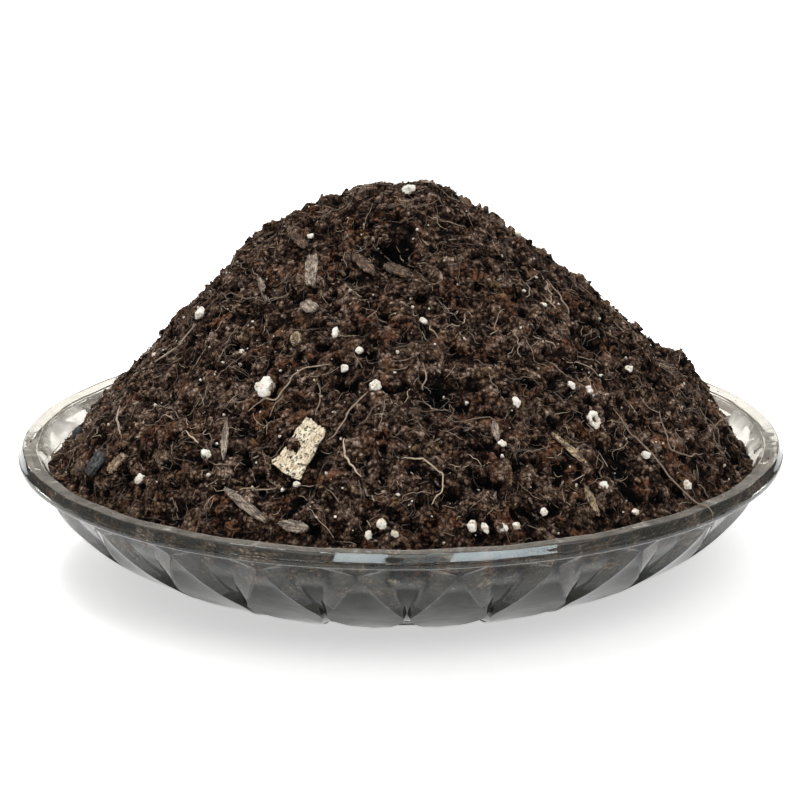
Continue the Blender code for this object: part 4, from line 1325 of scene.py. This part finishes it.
    def _underside(self, top: np.ndarray, rings: list[tuple[int, int]]) -> tuple[np.ndarray, list]:
        """Return all points and faces: the top, and the side that lies against the glass."""
        faces = [(0, rings[0][0] + (step + 1) % rings[0][1], rings[0][0] + step) for step in range(rings[0][1])]
        for (here, count), (there, other) in zip(rings, rings[1:]):
            faces.extend(band(here, count, there, other))
        path = self.dish.inside()[:-1]
        lengths = np.concatenate([[0.0], np.cumsum([(two - one).length for one, two in zip(path, path[1:])])])
        radius_at = np.array([point.x for point in path])
        height_at = np.array([point.y for point in path])
        total = len(top)
        places = [top]
        before = rings[-1]
        columns = 480
        rows = 26
        bearings = np.arange(columns) * 360.0 / columns
        turns = np.radians(bearings)
        _, line = self.edge(bearings)
        start = np.interp(-line, -height_at, lengths)
        for row in range(1, rows + 1):
            along = start + (lengths[-1] - start) * (row / rows) ** 1.15
            radii = np.interp(along, lengths, radius_at)
            heights = np.interp(along, lengths, height_at)
            radii = radii + 0.62 * self.pressed_in
            heights = heights - 0.78 * self.pressed_in
            places.append(np.stack([radii * np.sin(turns), -radii * np.cos(turns), heights], axis=1))
            faces.extend(band(*before, total, columns))
            before = (total, columns)
            total += columns
        places.append(np.array([[0.0, 0.0, self.dish.floor - self.pressed_in]]))
        faces.extend((total, before[0] + step, before[0] + (step + 1) % columns) for step in range(columns))
        return np.vstack(places), faces

    def _top_sheet(self, points: np.ndarray, rings: list[tuple[int, int]]) -> bpy.types.Mesh:
        """Return the open top alone, facing up, for what is strewn on it."""
        faces = [(0, rings[0][0] + step, rings[0][0] + (step + 1) % rings[0][1]) for step in range(rings[0][1])]
        for (here, count), (there, other) in zip(rings, rings[1:]):
            faces.extend(face[::-1] for face in band(here, count, there, other))
        mesh = bpy.data.meshes.new("top_of_mix")
        mesh.from_pydata(points.tolist(), [], faces)
        # The strewn crumbs take this openness for their own painted shade.
        store(mesh, "open", self.open)
        clear = 1.0 - smooth_step(0.978, 0.990, self.share)
        store(mesh, "spread", clear * (1.0 - 0.85 * self.cover))
        return mesh


@dataclass
class Piece:
    """A refined copy of one solid, in its own axes: along, across and up."""

    node: str
    cuts: int
    shape: bmesh.types.BMesh = field(init=False)
    centre: Vector = field(init=False)
    axes: Matrix = field(init=False)
    half: Vector = field(init=False)

    def __post_init__(self) -> None:
        """Copy the solid, merge its doubles, find its axes and divide its faces."""
        self.shape = bmesh.new()
        self.shape.from_mesh(frame["nodes"][self.node].data)
        bmesh.ops.remove_doubles(self.shape, verts=self.shape.verts, dist=1e-6)
        places = np.array([vert.co[:] for vert in self.shape.verts])
        self.centre = Vector(places.mean(axis=0))
        spread = places - places.mean(axis=0)
        _, ways = np.linalg.eigh(spread.T @ spread)
        along = Vector(ways[:, 2])
        along = along if along.z < 0.0 else -along
        up = Vector(ways[:, 0])
        up = up if up.z > 0.0 else -up
        self.axes = Matrix((along, up.cross(along), up))
        local = spread @ np.array(self.axes).T
        self.half = Vector(np.abs(local).max(axis=0))
        bmesh.ops.subdivide_edges(self.shape, edges=self.shape.edges, cuts=self.cuts, use_grid_fill=True)

    def soften(self, times: int) -> None:
        """Round the solid's facets and edges."""
        for _ in range(times):
            bmesh.ops.smooth_vert(self.shape, verts=self.shape.verts, factor=0.5,
                                  use_axis_x=True, use_axis_y=True, use_axis_z=True)

    def local(self, vert: bmesh.types.BMVert) -> Vector:
        """Return a vertex in the piece's own axes."""
        return self.axes @ (vert.co - self.centre)

    def put(self, vert: bmesh.types.BMVert, place: Vector) -> None:
        """Move a vertex to a place in the piece's own axes."""
        vert.co = self.centre + self.axes.transposed() @ place

    def mesh(self, name: str, sharp: float | None = None) -> bpy.types.Mesh:
        """Return the finished mesh, with its own axes kept for its finish."""
        bmesh.ops.triangulate(self.shape, faces=self.shape.faces)
        mesh = bpy.data.meshes.new(name)
        axes = [self.local(vert)[:] for vert in self.shape.verts]
        self.shape.to_mesh(mesh)
        self.shape.free()
        face_outwards(mesh)
        mesh.shade_smooth()
        if sharp is not None:
            mesh.set_sharp_from_angle(angle=math.radians(sharp))
        store(mesh, "axes", np.array(axes))
        return mesh


@dataclass
class PerliteGrains:
    """The white grains that can be told apart, each a popped, pitted body."""

    surface: HeapSurface
    heap: Heap
    count: int = 24
    lumpiness: float = 0.42
    knobs: float = 0.20
    pit: float = 0.26
    broken: str = "perlite_grain_07"
    strays: tuple[tuple[float, float, float], ...] = (
        (18, 0.972, 0.0020), (39, 0.985, 0.0017), (-60, 0.281, 0.0016), (52, 0.491, 0.0016),
        (-47, 0.585, 0.0014), (-85, 0.695, 0.0014), (-11, 0.567, 0.0019), (-18, 0.882, 0.0017),
        (19, 0.817, 0.0019), (150, 0.500, 0.0034), (205, 0.720, 0.0042), (172, 0.860, 0.0028),
        (128, 0.640, 0.0026), (188, 0.300, 0.0030), (222, 0.450, 0.0024), (160, 0.200, 0.0022),
        (140, 0.880, 0.0035), (238, 0.800, 0.0030), (118, 0.380, 0.0022), (180, 0.600, 0.0021),
    )
    behind_glass: tuple[tuple[float, float, float], ...] = (
        (-1.2, 0.0240, 0.0042), (8.0, 0.0222, 0.0016), (62.0, 0.0235, 0.0020), (168.0, 0.0225, 0.0034),
    )

    def build(self, material: bpy.types.Material) -> None:
        """Build the grains of the frame, and the smaller strays."""
        for number in range(1, self.count + 1):
            node = f"perlite_grain_{number:02d}"
            grain = Piece(node, 3)
            grain.soften(2)
            self._pop(grain.shape, grain.centre, min(grain.half), number)
            if node == self.broken:
                self._break_open(grain)
            mesh = grain.mesh("grain_of_perlite_" + f"{number:02d}")
            self._bury(mesh, grain.centre, min(grain.half))
            add_piece(mesh, material, Slot.PERLITE, node)
        self._build_strays(material)

    def _pop(self, shape: bmesh.types.BMesh, centre: Vector, size: float, number: int) -> None:
        """Give a body the lumps and pits of popped perlite."""
        shift = Vector((7.0 * number, 3.0, 1.0))
        for vert in shape.verts:
            arm = vert.co - centre
            way = arm.normalized()
            lumps = noise.noise(1.3 * way + shift)
            knobs = noise.noise(3.4 * way + shift)
            pits = max(0.42 - noise.voronoi(2.6 * way + shift)[0][0], 0.0)
            vert.co += size * (self.lumpiness * lumps + self.knobs * knobs - 2.0 * self.pit * pits) * way

    @staticmethod
    def _break_open(grain: Piece) -> None:
        """Hollow a grain out on the side that faces down the slope."""
        towards = Vector((0.35, 0.15, 1.0)).normalized()
        reach = 0.62 * min(grain.half.x, grain.half.y)
        for vert in grain.shape.verts:
            place = grain.local(vert)
            beside = place - place.dot(towards) * towards
            if place.dot(towards) > 0.0 and beside.length < reach:
                depth = 1.25 * grain.half.z * (1.0 - (beside.length / reach) ** 4)
                grain.put(vert, place - depth * towards)

    def _bury(self, mesh: bpy.types.Mesh, centre: Vector, size: float) -> None:
        """Store how deep each place of a grain lies, from 0 at its top to 1 in the mix."""
        places = np.empty(3 * len(mesh.vertices))
        mesh.vertices.foreach_get("co", places)
        places = places.reshape(-1, 3)
        ground = self.surface.heights_at(places[:, 0], places[:, 1])
        store(mesh, "buried", 1.0 - smooth_step(-0.2 * size, 1.1 * size, places[:, 2] - ground))

    def _build_strays(self, material: bpy.types.Material) -> None:
        """Build the smaller grains that have no solid, as one piece."""
        shape = bmesh.new()
        for number, (bearing, share, size) in enumerate(self.strays):
            spot = self.heap.spot(bearing, share)
            centre = Vector((spot.x, spot.y, self.surface.height(spot.x, spot.y) + 0.22 * size))
            made = bmesh.ops.create_icosphere(shape, subdivisions=3, radius=0.5 * size)["verts"]
            shift = Vector((5.0, 9.0 * number, 2.0))
            for vert in made:
                way = vert.co.normalized()
                lumps = 1.0 + 0.40 * noise.noise(1.4 * way + shift) + 0.26 * noise.noise(3.5 * way + shift)
                vert.co = centre + Vector((lumps, 0.85 * lumps, 0.8 * lumps)) * vert.co
        self._press_against_glass(shape)
        mesh = bpy.data.meshes.new("stray_perlite")
        shape.to_mesh(mesh)
        shape.free()
        mesh.shade_smooth()
        self._bury(mesh, Vector(), 0.0009)
        add_piece(mesh, material, Slot.PERLITE)

    def _press_against_glass(self, shape: bmesh.types.BMesh) -> None:
        """Add the grains that are seen through the wall."""
        for number, (bearing, height, size) in enumerate(self.behind_glass):
            radius = float(self.heap.dish.inner_radius(np.array([height]))[0]) - 0.25 * size
            centre = at_bearing(bearing, radius, height)
            made = bmesh.ops.create_icosphere(shape, subdivisions=3, radius=0.5 * size)["verts"]
            shift = Vector((4.0, 1.0, 6.0 * number))
            for vert in made:
                way = vert.co.normalized()
                lumps = 1.0 + 0.35 * noise.noise(1.5 * way + shift) + 0.2 * noise.noise(4.0 * way + shift)
                vert.co = centre + Vector((lumps, 0.7 * lumps, 0.75 * lumps)) * vert.co


@dataclass(frozen=True)
class ChipLook:
    """How one chip is roughened: torn ends, frayed sides, relief, warp, a notch and pointed ends."""

    node: str
    slot: Slot
    tear: float = 0.14
    fray: float = 0.26
    relief: float = 0.35
    warp: float = 0.09
    notch: float = 0.0
    notch_side: float = 1.0
    cuts: int = 7
    point: float = 0.45


@dataclass
class Chips:
    """Bark, wood, straw and charcoal chips, and the pale flake."""

    looks: tuple[ChipLook, ...] = (
        ChipLook("pale_flake", Slot.FLAKE, 0.06, 0.09, 0.55, 0.04, 0.08, -1.0, 11, 0.0),
        ChipLook("wood_chip_grey", Slot.WOOD, 0.20, 0.14, 0.45, 0.06, point=0.12),
        ChipLook("bark_curl", Slot.BARK, 0.20, 0.22, 0.60, point=0.20),
        ChipLook("bark_chip_top", Slot.BARK, 0.22, 0.34, 0.70, point=0.30),
        ChipLook("bark_chip_middle", Slot.BARK, 0.22, 0.30, 0.80, point=0.15),
        ChipLook("stick_grey", Slot.WOOD), ChipLook("bark_chip_pale", Slot.WOOD),
        ChipLook("sliver_left", Slot.WOOD), ChipLook("straw_chip_upper", Slot.STRAW, 0.12, 0.14),
        ChipLook("straw_chip_lower", Slot.STRAW, 0.12, 0.14), ChipLook("sliver_middle", Slot.WOOD),
        ChipLook("charcoal_chip", Slot.CHARCOAL, 0.14, 0.16, 0.60, point=0.20), ChipLook("bark_lump", Slot.BARK, 0.15, 0.2, 0.2),
        ChipLook("bark_chip_tan", Slot.STRAW, 0.24, 0.34, 0.60, point=0.25), ChipLook("bark_chip_dark", Slot.CHARCOAL),
        ChipLook("bark_chip_front", Slot.WOOD), ChipLook("stick_front", Slot.WOOD, 0.06, 0.12),
        ChipLook("bark_knot", Slot.STRAW, 0.15, 0.2, 0.2),
    )

    def build(self, finishes: dict[Slot, bpy.types.Material]) -> None:
        """Build every chip in its solid's place."""
        for number, look in enumerate(self.looks):
            chip = Piece(look.node, look.cuts)
            chip.soften(3)
            self._roughen(chip, look, 11.0 * number)
            mesh = chip.mesh("dressed_" + look.node, sharp=55.0)
            add_piece(mesh, finishes[look.slot], look.slot, look.node)

    @staticmethod
    def _roughen(chip: Piece, look: ChipLook, seed: float) -> None:
        """Tear the ends, fray the sides, and raise the grain of a chip."""
        half = chip.half
        for vert in chip.shape.verts:
            place = chip.local(vert)
            along = place.x / half.x
            across = place.y / half.y
            torn = noise.noise(Vector((6.0 * across, seed, 0.5))) + 0.6 * noise.noise(Vector((17.0 * across, seed, 2.5)))
            frayed = noise.noise(Vector((5.0 * along, seed, 4.5))) + 0.6 * noise.noise(Vector((15.0 * along, seed, 7.5)))
            ridge = noise.noise(Vector((2.0 * along, 9.0 * across, seed)))
            bend = noise.noise(Vector((1.4 * along, 0.8 * across, seed + 9.0)))
            narrow = 1.0 - look.point * abs(along) ** 2.5
            place.y *= narrow
            place.z *= 1.0 - 0.55 * across ** 2 - 0.25 * abs(along) ** 3
            place.x += look.tear * half.x * torn * abs(along) ** 3 * math.copysign(1.0, along)
            place.y += look.fray * half.y * frayed * abs(across) * math.copysign(1.0, across)
            place.z += look.relief * half.z * ridge + look.warp * half.x * bend
            side = across * look.notch_side
            if look.notch and side > 0.0:
                place.y -= look.notch_side * look.notch * half.y * side * math.exp(-(along / 0.5) ** 2)
            chip.put(vert, place)


@dataclass(frozen=True)
class Strand:
    """A root or straw that lies on the heap: its node, width, tone and route."""

    name: str
    width: float
    tone: float
    route: Route
    node: str | None = None
    slot: Slot = Slot.ROOT
    lift: float = 0.0004


@dataclass
class Roots:
    """The roots and straws that can be told apart, and the one that hangs over the rim."""

    heap: Heap
    surface: HeapSurface
    dish: GlassDish
    step: float = 0.0006
    sides: int = 7
    wobble: float = 0.00050
    slimness: float = 0.72
    rim_bearing: float = 50.7
    rim_hang: float = 0.0027
    rim_width: float = 0.0006
    rim_route: Route = ((46, 0.789), (47, 0.847), (48, 0.902), (49, 0.949))
    strands: tuple[Strand, ...] = (
        Strand("left", 0.00055, 0.80, ((-33, 0.745), (-31, 0.712), (-28, 0.699), (-27, 0.656), (-24, 0.623), (-18, 0.610)),
               "root_left"),
        Strand("middle", 0.00055, 0.78, ((-7, 0.684), (-9, 0.714), (-11, 0.728), (-12, 0.751), (-14, 0.784)), "root_middle"),
        Strand("wavy", 0.00050, 0.95,
               ((0, 0.820), (2, 0.836), (4, 0.835), (6, 0.842), (7, 0.855), (7, 0.884), (5, 0.922)), "root_wavy"),
        Strand("right", 0.00050, 0.70, ((57, 0.832), (54, 0.880), (53, 0.908), (56, 0.926), (60, 0.940)), "root_right"),
        Strand("high", 0.00055, 0.72, ((65, 0.443), (62, 0.492), (57, 0.548)), "root_high"),
        Strand("short", 0.00055, 0.75, ((6, 0.595), (6, 0.632), (5, 0.669)), "root_short"),
        Strand("straw_left_side", 0.00075, 0.85, ((-71, 0.812), (-67, 0.838), (-61, 0.871)), "straw_left", Slot.STRAW),
        Strand("straw_in_the_middle", 0.00070, 0.95, ((-11, 0.778), (-10, 0.820), (-7, 0.869)), "straw_middle", Slot.STRAW),
        Strand("straw_behind", 0.00070, 0.85, ((-70, 0.597), (-72, 0.650), (-74, 0.706)), "straw_back_left", Slot.STRAW),
    )
    thin: tuple[Strand, ...] = (
        Strand("branch", 0.00035, 0.72, ((-27, 0.690), (-28, 0.715), (-28, 0.742))),
        Strand("fork", 0.00038, 0.75, ((-20, 0.650), (-18, 0.680), (-18, 0.734))),
        Strand("reddish", 0.00045, 0.45, ((-76, 0.525), (-60, 0.486), (-48, 0.467))),
        Strand("straw_small", 0.00060, 0.95, ((-44, 0.822), (-42, 0.832), (-40, 0.843))),
        Strand("straw_top", 0.00055, 0.95, ((60, 0.068), (62, 0.085), (65, 0.101))),
    )

    def build(self, finishes: dict[Slot, bpy.types.Material]) -> None:
        """Build each strand in its solid's place, and the thin ones as one piece."""
        for number, strand in enumerate(self.strands):
            points, faces, tones = self._strand(strand, number, 0)
            mesh = make_mesh("strand_" + strand.name, points, faces)
            self._keep(mesh, tones)
            add_piece(mesh, finishes[Slot.ROOT], strand.slot, strand.node)
        points, faces, tones = [], [], []
        for number, strand in enumerate(self.thin):
            more, sides, shades = self._strand(strand, 30 + number, len(points))
            points += more
            faces += sides
            tones += shades
        mesh = make_mesh("thin_strands", points, faces)
        self._keep(mesh, tones)
        add_piece(mesh, finishes[Slot.ROOT], Slot.ROOT)
        self._build_over_rim(finishes[Slot.ROOT])

    @staticmethod
    def _keep(mesh: bpy.types.Mesh, tones: list[float]) -> None:
        """Store the tone that the finish reads."""
        store(mesh, "tone", np.array(tones))

    def _lay(self, route: Route, width: float, lift: float, seed: float) -> list[Vector]:
        """Return a route's points on the heap, with a root's small kinks."""
        plan = smooth_route([self.heap.spot(bearing, share) for bearing, share in route], self.step)
        laid = []
        for index, point in enumerate(plan):
            kink = noise.noise_vector(Vector((0.35 * index, seed, 0.5))) * self.wobble
            x = point.x + kink.x
            y = point.y + kink.y
            rise = lift + 0.5 * width + 0.6 * kink.z
            laid.append(Vector((x, y, self.surface.height(x, y) + rise)))
        return laid

    def _strand(self, strand: Strand, number: int, start: int) -> tuple[list, list, list]:
        """Return the points, faces and tones of one strand."""
        width = self.slimness * strand.width
        line = self._lay(strand.route, width, strand.lift, 3.0 * number)
        return self._round(line, width, strand.tone, number, start)

    def _round(self, line: list[Vector], width: float, tone: float, number: int, start: int) -> tuple[list, list, list]:
        """Return the points, faces and tones of a root along its middle line."""
        last = len(line) - 1
        girths = []
        for index in range(len(line)):
            end = abs(2.0 * index / last - 1.0)
            knot = 1.0 + 0.25 * noise.noise(Vector((0.5 * index, 2.0 * number, 0.0)))
            girths.append(0.5 * width * knot * (1.0 - 0.6 * end ** 3))
        points, faces = tube(line, girths, self.sides, start)
        return points, faces, [tone] * len(points)

    def _build_over_rim(self, material: bpy.types.Material) -> None:
        """Build the root that comes down the heap and hangs over the glass rim."""
        rise = 0.5 * self.rim_width + 0.00015
        line = self._lay(self.rim_route, self.rim_width, 0.0004, 77.0)
        inner = self.dish.rim_radius - self.dish.ledge_width
        over = [
            at_bearing(self.rim_bearing, inner, self.dish.height + 2.0 * rise),
            at_bearing(self.rim_bearing, self.dish.rim_radius - 0.0012, self.dish.height + rise),
            at_bearing(self.rim_bearing, self.dish.rim_radius + rise, self.dish.height - 0.0010),
            at_bearing(self.rim_bearing, self.dish.rim_radius + rise, self.dish.height - self.rim_hang),
        ]
        line = line[:-1] + smooth_route([line[-1], *over], self.step)
        points, faces, tones = self._round(line, self.slimness * self.rim_width, 0.7, 41, 0)
        mesh = make_mesh("strand_over_the_rim", points, faces)
        self._keep(mesh, tones)
        add_piece(mesh, material, Slot.ROOT, "root_over_rim")


@dataclass
class LedgeDust:
    """Specks of soil that lie on the ledge."""

    dish: GlassDish
    specks: Strewn = Strewn("specks_on_the_ledge", 150000, 0.00018, 0.00055, 1, skew=2.4, lift=0.0, seed=51)
    columns: int = 240

    def build(self, material: bpy.types.Material) -> None:
        """Strew the specks over a sheet that lies on the ledge."""
        inner = self.dish.rim_radius - self.dish.ledge_width + 0.0004
        outer = self.dish.rim_radius - 0.0016
        level = self.dish.height - 0.5 * self.dish.panel_dip
        points = []
        amounts = []
        for column in range(self.columns):
            bearing = 360.0 * column / self.columns
            patch = noise.noise(Vector((math.cos(math.radians(bearing)), math.sin(math.radians(bearing)), 0.0)) * 4.0)
            for radius, amount in ((inner, 1.0), (outer, 0.25)):
                points.append(at_bearing(bearing, radius, level))
                amounts.append(amount * (0.45 + max(patch, -0.35)))
        faces = []
        for column in range(self.columns):
            here = 2 * column
            there = 2 * ((column + 1) % self.columns)
            faces.append((here, here + 1, there + 1, there))
        sheet = bpy.data.meshes.new("ledge_sheet")
        sheet.from_pydata([point[:] for point in points], [], faces)
        store(sheet, "spread", np.array(amounts))
        store(sheet, "open", np.full(len(points), 0.5))
        add_piece(grow(sheet, self.specks, material), None, Slot.MIX)
        bpy.data.meshes.remove(sheet)


@dataclass
class Studio:
    """The white table, the soft lights and the camera at the photograph's angle."""

    target: Vector = field(default_factory=lambda: Vector((-0.000128, 0.0, 0.041474)))
    distance: float = 1.200
    elevation: float = 16.105
    roll: float = 0.004
    lens: float = 224.75
    floor_reach: float = 6.0
    sky: float = 0.62
    horizon: Colour = (0.13, 0.13, 0.13)
    zenith: Colour = (1.0, 1.0, 1.0)
    daylight: Colour = (0.90, 0.96, 1.0)
    finish: FloorFinish = field(default_factory=FloorFinish)

    def build(self) -> None:
        """Set the table, the sky, the lights and the camera."""
        self._floor()
        self._sky()
        self._light("softbox_above", Vector((-0.25, 0.10, 1.5)), 0.9, 0.9, 26.0)
        self._light("softbox_front", Vector((0.45, -1.30, 1.20)), 0.9, 0.9, 9.0)
        self._light("window_left", Vector((-0.26, -1.10, 1.10)), 0.36, 0.55, 13.0, seen_only=True)
        self._light("window_right", Vector((0.62, -0.95, 1.10)), 0.75, 0.55, 24.0, seen_only=True)
        self._camera()
        bpy.context.scene.view_settings.view_transform = "Standard"
        bpy.context.scene.view_settings.look = "None"

    def _floor(self) -> None:
        """Lay the white table just under the foot."""
        reach = self.floor_reach
        level = -0.00005
        mesh = bpy.data.meshes.new("table")
        corners = [(-reach, -reach, level), (reach, -reach, level), (reach, reach, level), (-reach, reach, level)]
        mesh.from_pydata(corners, [], [(0, 1, 2, 3)])
        mesh.materials.append(self.finish.material())
        table = bpy.data.objects.new("table", mesh)
        bpy.context.collection.objects.link(table)

    def _sky(self) -> None:
        """Light the scene from all round: dark at the horizon, white overhead."""
        world = bpy.data.worlds.new("studio")
        world.use_nodes = True
        writer = NodeWriter(world.node_tree)
        way = writer.node("ShaderNodeTexCoord").outputs["Generated"]
        up = writer.node("ShaderNodeSeparateXYZ", {0: way}).outputs[2]
        sky = world.node_tree.nodes["Background"]
        writer.put(sky.inputs["Color"], writer.ramp(up, [(0.30, self.horizon), (0.80, self.zenith)]))
        writer.put(sky.inputs["Strength"], self.sky)
        bpy.context.scene.world = world

    def _light(self, name: str, place: Vector, width: float, height: float, power: float,
               seen_only: bool = False) -> None:
        """Hang a soft light that faces the dish; one that is seen only shows in the glass."""
        lamp = bpy.data.lights.new(name, "AREA")
        lamp.shape = "RECTANGLE"
        lamp.size = width
        lamp.size_y = height
        lamp.energy = power
        light = bpy.data.objects.new(name, lamp)
        light.location = place
        light.rotation_euler = (self.target - place).to_track_quat("-Z", "Y").to_euler()
        light.visible_diffuse = not seen_only
        lamp.color = self.daylight if seen_only else self.zenith
        bpy.context.collection.objects.link(light)

    def _camera(self) -> None:
        """Put the camera where the photograph was taken from."""
        tilt = math.radians(self.elevation)
        ahead = Vector((0.0, math.cos(tilt), -math.sin(tilt)))
        right = Vector((1.0, 0.0, 0.0))
        up = Vector((0.0, math.sin(tilt), math.cos(tilt)))
        cosine = math.cos(self.roll)
        sine = math.sin(self.roll)
        turned = Matrix((cosine * right - sine * up, sine * right + cosine * up, -ahead)).transposed()
        lens = bpy.data.cameras.new("camera")
        lens.lens = self.lens
        lens.sensor_width = 36.0
        lens.clip_start = 0.05
        lens.clip_end = 50.0
        camera = bpy.data.objects.new("camera", lens)
        camera.matrix_world = Matrix.Translation(self.target - self.distance * ahead) @ turned.to_4x4()
        bpy.context.collection.objects.link(camera)
        bpy.context.scene.camera = camera


def main() -> None:
    """Build the dressed part and the studio."""
    logging.basicConfig(level=logging.INFO, format="%(name)s: %(message)s")
    finishes = {
        Slot.MIX: MixFinish().material(),
        Slot.PERLITE: PerliteFinish().material(),
        Slot.FLAKE: FLAKE.material(),
        Slot.WOOD: GREY_WOOD.material(),
        Slot.BARK: BARK.material(),
        Slot.STRAW: STRAW.material(),
        Slot.CHARCOAL: CHARCOAL.material(),
        Slot.ROOT: FibreFinish().material(),
    }
    nodes = frame["nodes"]
    chips = [nodes[look.node] for look in Chips.looks]
    grains = [node for name, node in nodes.items() if name.startswith("perlite_grain")]
    surface = HeapSurface(nodes["potting_mix"], chips, grains)
    low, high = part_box("glass_dish")
    dish = GlassDish(rim_radius=0.5 * (high.x - low.x))
    heap = Heap(dish, surface)
    dish.build(heap.edge)
    heap.build(finishes)
    PerliteGrains(surface, heap).build(finishes[Slot.PERLITE])
    Chips().build(finishes)
    Roots(heap, surface, dish).build(finishes)
    LedgeDust(dish).build(finishes[Slot.MIX])
    Studio().build()


if __name__ == "__main__":
    main()
